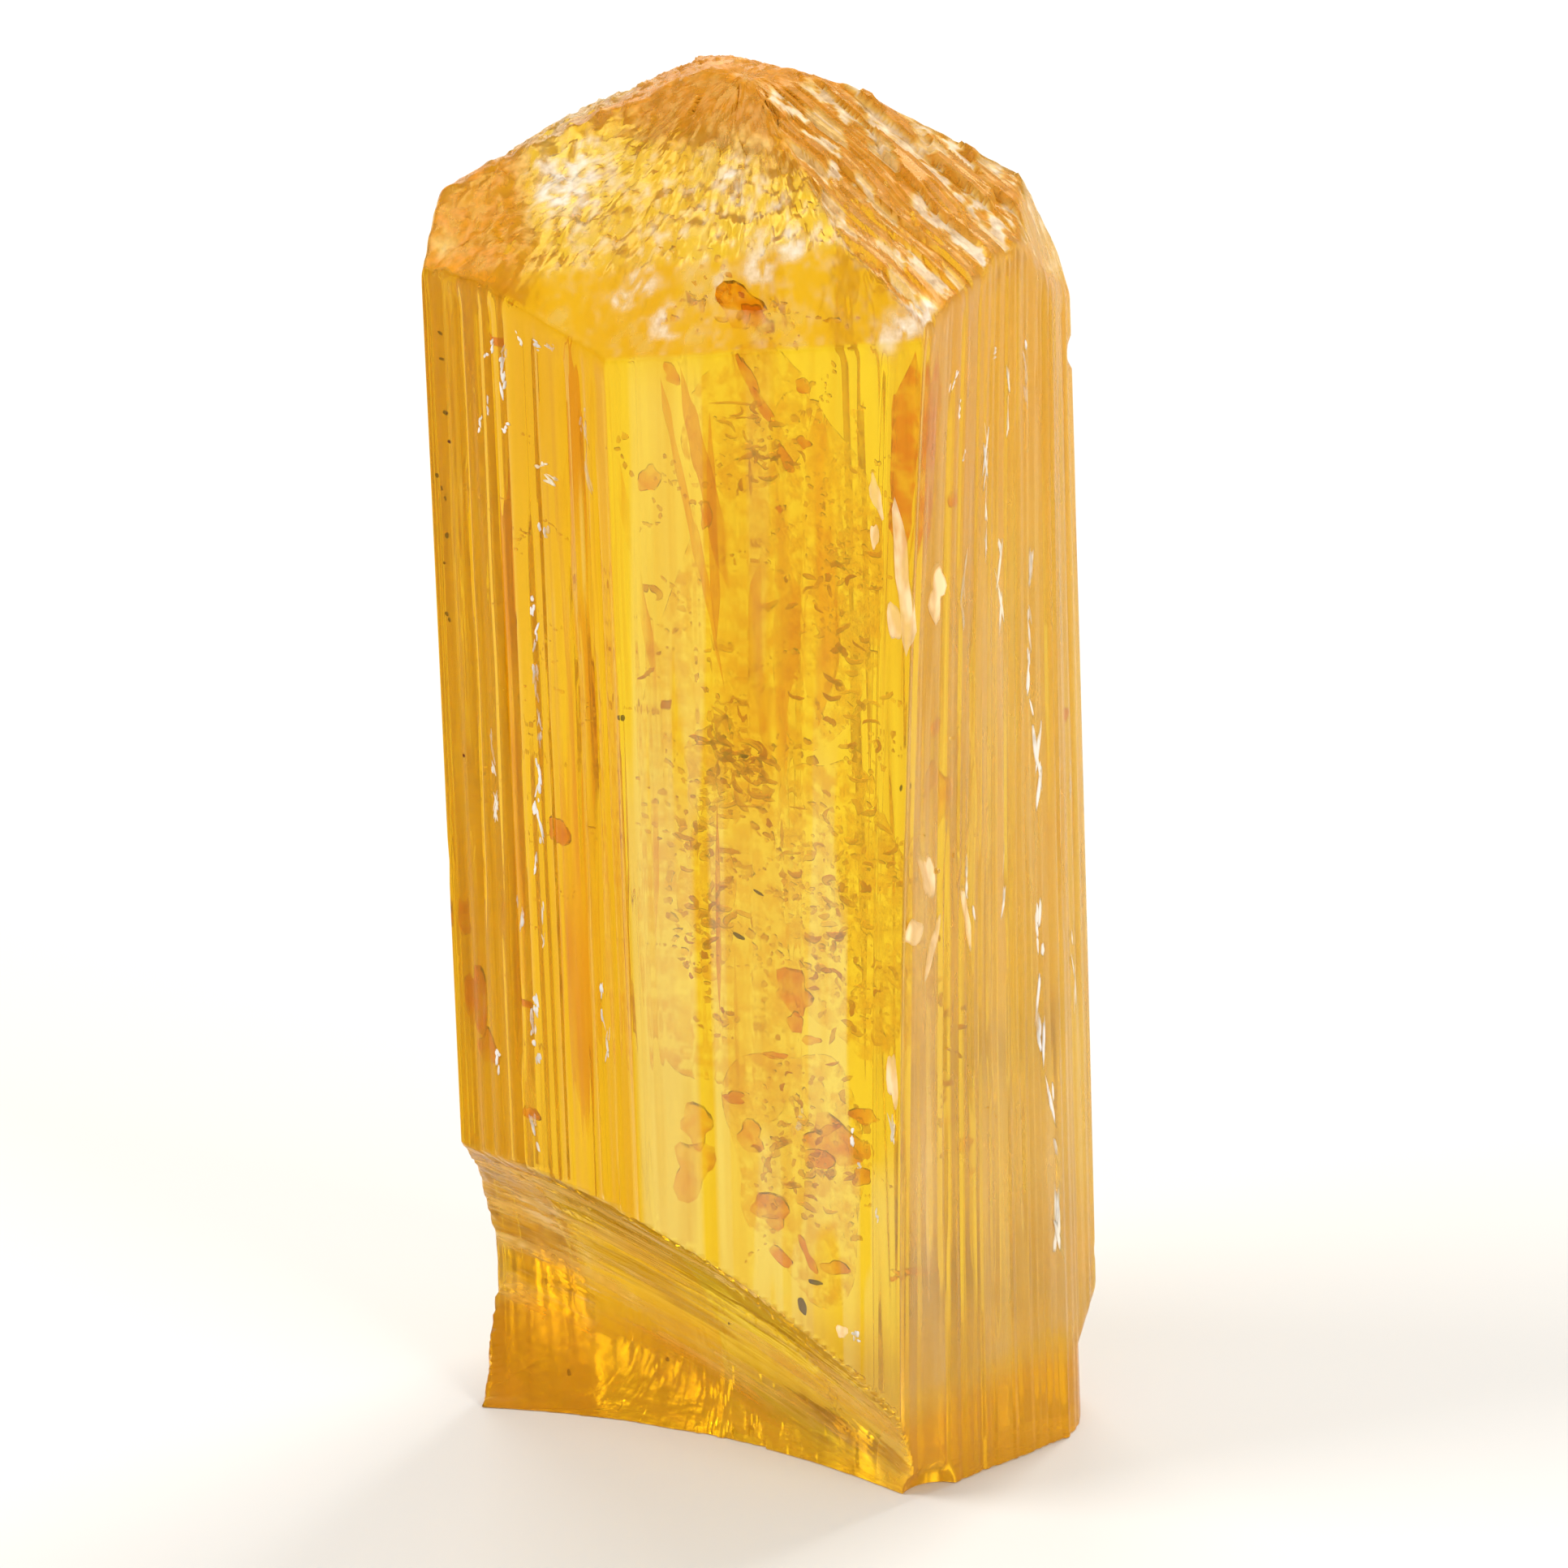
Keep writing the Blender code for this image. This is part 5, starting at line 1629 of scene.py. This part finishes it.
@dataclass
class Zones:
    """Masks over the skin that the finish reads, each from 0 to 1.

    Attributes:
        crystal: The crystal's form.
        surface: Its grid.
        band_weights: How strong the growth bands are on each side, in the order of Side.
        crust_weights: How much of each side is whitened, in the same order.
    """

    crystal: Crystal
    surface: Surface
    band_weights: tuple = (0.38, 0.30, 0.06, 0.1, 0.50, 0.55, 0.50, 0.4)
    crust_weights: tuple = (0.010, 0.010, 0.20, 0.26, 0.09, 0.05, 0.09, 0.01)

    def on_side(self) -> np.ndarray:
        """1 on the rows of the sides, 0 on the roof."""
        rows, columns = self.surface.points.shape[:2]
        return (np.arange(rows) < self.surface.side_rows)[:, None] * np.ones((1, columns))

    def bands(self) -> np.ndarray:
        """Growth bands: steps of noise across each side, drawn out up it, at four widths.

        Returns:
            Rows by columns; strongest on the left side and the hidden sides, weak on the middle window.
        """
        z, side = self.surface.points[..., 2], self.surface.side[None, :].astype(float)
        place = self.surface.place[None, :]
        total = np.zeros_like(z)
        hidden = self.surface.side[None, :] > Side.RIGHT_EDGE.value
        for pitch, stretch, strength, seed in ((1.6, 24.0, 0.50, 81), (0.55, 12.0, 0.45, 82),
                                               (0.2, 7.0, 0.35, 83), (0.09, 4.0, 0.25, 84)):
            spot = stacked(place / pitch, z / stretch, side * 5.3)
            share = np.where(hidden & (pitch < 0.3), 0.25, 1.0)
            total += strength * share * smoothstep(-0.10, 0.16, value_noise(spot, seed))
        return smoothstep(0.35, 1.2, total) * np.array(self.band_weights)[self.surface.side][None, :]

    def windows(self) -> np.ndarray:
        """Pale windows of the middle side: upright stripes of noise, fewer towards the front edge.

        Returns:
            Rows by columns.
        """
        z, place = self.surface.points[..., 2], self.surface.place[None, :]
        middle = self.surface.side[None, :] == Side.MIDDLE.value
        broad = smoothstep(-0.22, -0.10, value_noise(stacked(place / 0.85, z / 14.0), 171))
        stripes = broad * smoothstep(-0.62, -0.50, value_noise(stacked(place / 0.22, z / 9.0), 172))
        far = 3.0 * smoothstep(22.0, 14.0, z)
        ragged = place + 1.3 * layered_noise(stacked(place / 2.0, z / 5.0), 173, 2)
        reach = smoothstep(5.4 + far, 1.8 + far, ragged)
        low = smoothstep(20.0, 16.0, z)
        first = smoothstep(0.02, 0.12, place) * smoothstep(1.75, 1.60, place)
        second = smoothstep(2.05, 2.15, place) * smoothstep(5.6, 4.4, place)
        ground = np.maximum(first, (0.45 + 0.5 * (place < 2.45)) * second)
        share = np.maximum(stripes * reach * (1.0 - 0.55 * smoothstep(17.0, 23.0, z)), low * ground)
        return middle * share * smoothstep(30.5, 28.0, z)

    def diagonals(self, seed: int) -> np.ndarray:
        """Streaks of the hollow that run beside its upper edge: noise drawn out along that edge.

        Args:
            seed: Number that makes this set its own.

        Returns:
            Noise from about -1 to 1, rows by columns.
        """
        x, y, z = (self.surface.points[..., axis] for axis in range(3))
        across = 0.90 * z + 0.44 * y + 0.69 * x
        along = 0.80 * x - 0.60 * z
        across = across + 0.25 * value_noise(stacked(along * 0.4, across * 0.4), seed + 1)
        return layered_noise(stacked(across * 1.9, along * 0.16), seed, 4, 0.7)

    def lip(self) -> np.ndarray:
        """Share of each point that lies on the orange lip under the hollow, which thins out to the right."""
        x, z = self.surface.points[..., 0], self.surface.points[..., 2]
        edge = np.clip(2.1 - 0.42 * (x + 3.2), 0.3, 2.2)
        return smoothstep(edge + 0.7, edge - 0.5, z)

    def masks(self) -> dict[str, np.ndarray]:
        """Work out every mask."""
        p = self.surface.points
        x, y, z = p[..., 0], p[..., 1], p[..., 2]
        on_side = self.on_side()
        side = self.surface.side[None, :]
        left = np.isin(side, [Side.LEFT.value, Side.LEFT_EDGE.value])
        right = np.isin(side, [Side.RIGHT.value, Side.RIGHT_EDGE.value])
        middle = side == Side.MIDDLE.value
        hidden = side > Side.RIGHT_EDGE.value
        hollow, roof = self.surface.hollow, 1.0 - on_side
        patch = layered_noise(p * 0.35, 61, 3)
        fine = layered_noise(stacked(x * 5.0, y * 5.0, z * 0.18), 62, 3)
        foot = smoothstep(3.2, 1.2, z + 0.25 * patch)
        foot = foot + hollow * (self.lip() - foot)
        ledge = roof * self.crystal.roof.share_of("front_right", x, y)
        rich = smoothstep(-0.1, 0.5, layered_noise(stacked(x * 0.5, y * 0.5, z * 0.16), 68, 3))
        high = smoothstep(12.0, 22.0, z)
        deep = 0.9 * left + 0.35 * right * high + middle * (0.02 + (0.15 + 0.45 * high) * rich) + 0.2 * hidden
        deep = on_side * deep
        steep = self.crystal.roof.share_of("front_bevel", x, y)
        deep = deep + roof * (0.35 + 0.5 * ledge + 0.65 * steep) + 0.6 * foot + 0.25 * patch
        milk = right * on_side * (0.8 + 0.3 * patch + 0.3 * fine) * (1.0 - 0.7 * foot)
        etch = roof * (0.75 + 0.25 * patch) + 0.35 * hollow + 0.35 * foot
        # Painted highlights: white glints in columns on the left and right sides
        glints = smoothstep(0.45, 0.75, fine) * on_side * (0.8 * left + 0.6 * right)
        spots = smoothstep(0.1, 0.5, layered_noise(p * 1.6, 63, 3))
        shine = self.crystal.roof.bright_chips(x, y) * ledge
        frost_and_glints = glints + roof * (1.0 - ledge) * 0.4 * spots + 0.4 * shine
        fibre = 0.02 + 0.40 * (side == Side.LEFT.value) + 0.30 * right + 0.22 * hidden
        fibre = on_side * (1.0 - 0.7 * hollow) * fibre
        bands = (self.bands() + 0.45 * left * smoothstep(20.0, 29.0, z)) * on_side * (1.0 - hollow)
        bands = bands + hollow * (1.0 - self.lip()) * 0.7 * smoothstep(0.0, 0.35, self.diagonals(69))
        return {"deep": deep, "milk": milk, "etch": etch * (1.0 - 0.6 * ledge), "frost_and_glints": frost_and_glints, "band": bands,
                "fibre": fibre, "pale": self.windows() * on_side * (1.0 - hollow) * (1.0 - foot),
                "hackle": hollow * (1.0 - 0.85 * self.lip())}

    def crust(self) -> dict[str, np.ndarray]:
        """Cover and warmth of the thin frosting, zone by zone.

        Returns:
            cover: share that is frosted; warm: 0 where the frosting is white, 1 where it is orange.
        """
        p = self.surface.points
        x, y, z = p[..., 0], p[..., 1], p[..., 2]
        on_side = self.on_side()
        weight = np.array(self.crust_weights)[self.surface.side][None, :] * np.ones(x.shape)
        hollow = self.surface.hollow
        fine = layered_noise(stacked(x * 6.0, y * 6.0, z * 0.15), 62, 3)
        broad = layered_noise(stacked(x * 1.4, y * 1.4, z * 0.07), 65, 3)
        patch = layered_noise(p * 0.35, 61, 3)
        speckle = layered_noise(p * 4.6, 66, 2)
        streaks = weight * np.clip(1.0 + 0.8 * fine + 1.2 * broad + 0.4 * patch, 0.25, 2.6)
        # Painted highlights: white glints in the frosting of the more frosted sides
        glint = smoothstep(0.52, 0.74, fine) * smoothstep(0.03, 0.05, weight) * 0.6
        foot = smoothstep(3.0, 1.0, z + 0.5 * patch)
        foot = foot + hollow * (self.lip() - foot)
        # Hollow: thicker, paler frosting along the diagonal hackle lines, partly painted highlight bands
        lines = self.diagonals(67)
        wall = hollow * np.clip(0.38 + 0.5 * lines, 0.0, 0.7)
        flat = on_side * ((1.0 - hollow) * np.maximum(streaks, glint) + wall)
        flat = flat + (0.30 - flat) * foot * on_side * 0.9
        ledge = (1.0 - on_side) * self.crystal.roof.share_of("front_right", x, y)
        chips = self.crystal.roof.bright_chips(x, y)
        ledges = 0.54 + 0.15 * speckle + 0.30 * chips * np.clip(0.85 + 0.6 * speckle, 0.0, 1.0)
        crest = smoothstep(1.9, 0.2, 34.75 - z - 0.10 * np.abs(x))
        left_rim = smoothstep(-3.8, -6.2, x)
        steep = self.crystal.roof.bevels(x, y)
        # Etched roof's frosting: thicker and whiter where the speckle is high, partly painted sparkle
        etched = np.clip(0.24 + 0.46 * smoothstep(-0.1, 0.5, speckle) + 0.3 * patch + 0.20 * left_rim, 0.0, 0.9)
        etched = np.maximum(etched * (1.0 - 0.65 * steep), (0.62 + 0.2 * speckle) * crest)
        top = (1.0 - on_side) * (ledge * ledges + (1.0 - ledge) * etched)
        # Painted highlights: the whitened spots add cover and whiten the frosting
        gleam = self.gleams()
        cover = np.clip(flat + top + gleam * smoothstep(-0.35, 0.15, speckle), 0.0, 1.0)
        warm = 0.46 + 0.45 * smoothstep(20.0, 29.0, z) - 0.25 * broad + 0.95 * foot
        warm = on_side * (warm + hollow * (0.12 - 0.3 * lines))
        roof_warm = (1.0 - ledge) * (0.45 + 0.3 * patch - 0.45 * speckle + np.maximum(0.65 * crest, 0.85 * left_rim))
        roof_warm = roof_warm + ledge * (0.92 - 0.74 * chips + 0.2 * patch)
        warm = warm + (1.0 - on_side) * roof_warm - gleam
        return {"cover": cover, "warm": np.clip(warm, 0.0, 1.0), "upright": on_side * (1.0 - hollow),
                "hackle": hollow * (1.0 - 0.7 * self.lip())}

    def gleams(self) -> np.ndarray:
        """The whitened spots, mostly painted highlights: the strongest of a Gaussian round each."""
        total = np.zeros(self.surface.points.shape[:2])
        for x, y, z, radius, strength in GLEAMS:
            away = ((self.surface.points - np.array([x, y, z])) ** 2).sum(-1)
            total = np.maximum(total, strength * np.exp(-away / radius**2))
        return total

    def dress(self, obj: bpy.types.Object) -> None:
        """Store the masks on the skin, and on the rings under its base."""
        for name, values in self.masks().items():
            values = np.clip(values * np.ones(self.surface.points.shape[:2]), 0.0, 1.0)
            store(obj, name, self.spread(values))

    def spread(self, values: np.ndarray) -> np.ndarray:
        """Values of the grid in the order of the closed mesh's points, carried under the base and to both poles."""
        edge = np.repeat(values[:1], self.crystal.base_rings, axis=0)
        return np.concatenate([edge.ravel(), values.ravel(), [values[0].mean()], [values[-1].mean()]])

    def frosting(self, points: np.ndarray, faces: np.ndarray, shift: np.ndarray, material: bpy.types.Material,
                 lift: float = 0.012) -> None:
        """Lay the frosting on the skin: its faces where there is cover, lifted by a hair.

        Args:
            points: Points of the closed skin.
            faces: Its faces.
            shift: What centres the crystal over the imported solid.
            material: Its finish.
            lift: Height over the skin.
        """
        crust = {name: self.spread(values) for name, values in self.crust().items()}
        rows = self.crystal.base_rings * self.surface.points.shape[1]
        keep = (crust["cover"][faces].max(1) > 0.03) & (faces.min(1) >= rows)
        used, index = np.unique(faces[keep], return_inverse=True)
        corner = points[faces]
        cross = np.cross(corner[:, 2] - corner[:, 0], corner[:, 3] - corner[:, 1] + 1.0e-9)
        normal = np.zeros_like(points)
        for turn in range(4):
            np.add.at(normal, faces[:, turn], cross)
        normal /= np.linalg.norm(normal, axis=1)[:, None] + 1.0e-12
        obj = write_mesh("frosting", points[used] + lift * normal[used], index.reshape(-1, 4), shift)
        for name, values in crust.items():
            store(obj, name, values[used])
        obj.data.materials.append(material)
        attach(obj, "root")
        LOG.info("frosting: %d faces", int(keep.sum()))


# Studio


@dataclass
class Studio:
    """Pale floor, soft lights and the camera.

    Attributes:
        floor_half: Half side of the floor, in metres.
        floor_gap: How far the floor lies below the base, so that the two sheets never coincide, in metres.
        floor_colour: Colour of the floor.
        floor_roughness: Its roughness.
        surround: Colour of the even light from all round.
        surround_strength: Its strength.
        soft_lights: Name, place in metres, side in metres, watts and colour of each soft light.
        elevation: How far the camera looks down, in degrees.
        roll: Turn of the picture, in degrees.
        distance: Camera distance, in millimetres.
        picture_width: Width that the picture covers at the crystal, in millimetres.
        aim: Point that the camera's axis passes, in millimetres right of and above the crystal's middle.
        middle: Height of the crystal's middle, in millimetres.
        bounces: Light bounces that clear stone needs, for each kind of ray.
        light_threshold: Share of light under which a light is left out at a bounce.
        clamp: Greatest light that one bounced sample may add.
        sensor: Width of the camera's sensor, in millimetres.
    """

    floor_half: float = 2.0
    floor_gap: float = 0.00003
    floor_colour: tuple = (0.78, 0.77, 0.75, 1.0)
    floor_roughness: float = 0.8
    surround: tuple = (1.0, 0.985, 0.96, 1.0)
    surround_strength: float = 0.56
    soft_lights: tuple = (
        ("right_back_soft", (0.30, 0.31, 0.46), 0.26, 1.9, (1.0, 0.985, 0.96)),
        ("left_top_soft", (-0.44, -0.04, 0.50), 0.26, 1.8, (1.0, 0.985, 0.96)),
        ("back_soft", (-0.10, 0.50, 0.22), 0.30, 0.8, (1.0, 0.98, 0.95)),
        ("front_soft", (0.42, -0.42, 0.30), 0.26, 1.5, (1.0, 0.98, 0.95)),
    )
    elevation: float = 25.97
    roll: float = 2.157
    distance: float = 632.0
    picture_width: float = 37.09
    aim: tuple[float, float] = (0.487, -0.758)
    middle: float = 17.5
    bounces: dict = field(default_factory=lambda: {"max": 12, "transmission": 12, "glossy": 6, "diffuse": 3,
                                                   "volume": 0})
    light_threshold: float = 0.03
    clamp: float = 12.0
    sensor: float = 36.0

    def floor(self) -> None:
        """A pale floor at the crystal's base."""
        h = self.floor_half
        mesh = bpy.data.meshes.new("floor")
        z = -self.floor_gap
        mesh.from_pydata([(-h, -h, z), (h, -h, z), (h, h, z), (-h, h, z)], [], [(0, 1, 2, 3)])
        obj = bpy.data.objects.new("floor", mesh)
        bpy.context.scene.collection.objects.link(obj)
        material, _, shader = new_material("floor_paper")
        shader.inputs["Base Color"].default_value = self.floor_colour
        shader.inputs["Roughness"].default_value = self.floor_roughness
        mesh.materials.append(material)

    def light(self, name: str, place: tuple, size: float, power: float, colour: tuple) -> None:
        """A square soft light that faces the crystal.

        Args:
            name: Light name.
            place: Where it hangs, in metres.
            size: Side, in metres.
            power: Watts.
            colour: Its colour.
        """
        data = bpy.data.lights.new(name, "AREA")
        data.shape, data.size, data.energy, data.color = "SQUARE", size, power, colour
        obj = bpy.data.objects.new(name, data)
        obj.location = place
        aim = Vector((0.0, 0.0, self.middle * MM)) - obj.location
        obj.rotation_euler = aim.to_track_quat("-Z", "Y").to_euler()
        bpy.context.scene.collection.objects.link(obj)

    def lights(self) -> None:
        """An even pale surround and four soft lights."""
        world = bpy.data.worlds.new("studio")
        world.use_nodes = True
        background = world.node_tree.nodes["Background"]
        background.inputs["Color"].default_value = self.surround
        background.inputs["Strength"].default_value = self.surround_strength
        bpy.context.scene.world = world
        for row in self.soft_lights:
            self.light(*row)

    def camera(self) -> None:
        """The camera at the photo's angle: its axes are built from the elevation and the roll."""
        e, r = math.radians(self.elevation), math.radians(self.roll)
        right0, up0 = Vector((1, 0, 0)), Vector((0, math.sin(e), math.cos(e)))
        forward = Vector((0, math.cos(e), -math.sin(e)))
        right = right0 * math.cos(r) - up0 * math.sin(r)
        up = right0 * math.sin(r) + up0 * math.cos(r)
        target = Vector((0, 0, self.middle)) + right * self.aim[0] + up * self.aim[1]
        place = (target - forward * self.distance) * MM
        data = bpy.data.cameras.new("camera")
        data.sensor_width = self.sensor
        data.lens = self.sensor * self.distance / self.picture_width
        data.clip_start, data.clip_end = 0.05, 20.0
        obj = bpy.data.objects.new("camera", data)
        turn = Matrix((right, up, -forward)).transposed().to_4x4()
        obj.matrix_world = Matrix.Translation(place) @ turn
        bpy.context.scene.collection.objects.link(obj)
        bpy.context.scene.camera = obj

    def look(self) -> None:
        """Plain display colours, the light bounces, and plain sampling of the few lights, which is quicker here."""
        scene = bpy.context.scene
        scene.view_settings.view_transform = "Standard"
        for kind, count in self.bounces.items():
            setattr(scene.cycles, f"{kind}_bounces", count)
        scene.cycles.use_light_tree = False
        scene.cycles.light_sampling_threshold = self.light_threshold
        scene.world.cycles.sampling_method = "NONE"
        scene.cycles.sample_clamp_indirect = self.clamp


def main() -> None:
    """Build the crystal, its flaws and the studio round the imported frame."""
    logging.basicConfig(level=logging.INFO, format="%(message)s")
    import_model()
    crystal = Crystal()
    surface = crystal.skin()
    points, faces = closed_grid(surface, crystal.base_rings)
    low, high = points.min(0), points.max(0)
    shift = -np.array([(low[0] + high[0]) / 2.0, (low[1] + high[1]) / 2.0, low[2]])
    skin = write_mesh("crystal_skin", points, faces, shift)
    zones = Zones(crystal, surface)
    zones.dress(skin)
    grain = growth_grain_group(crystal.hollow)
    zones.frosting(points, faces, shift, Frosting().build(grain))
    skin.data.set_sharp_from_angle(angle=math.radians(crystal.sharp_angle))
    skin.data.materials.append(AmberBody().build(grain))
    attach(skin, "root")
    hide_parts(NODE)
    LOG.info("crystal_skin: %d points, %d faces, box %s to %s", len(points), len(faces), low.round(2), high.round(2))
    polygons = [face[:3] if face[2] == face[3] else face for face in faces.tolist()]
    Flaws(crystal.prism, shift, BVHTree.FromPolygons(points.tolist(), polygons)).build()
    studio = Studio()
    studio.floor()
    studio.lights()
    studio.camera()
    studio.look()


if __name__ == "__main__":
    main()
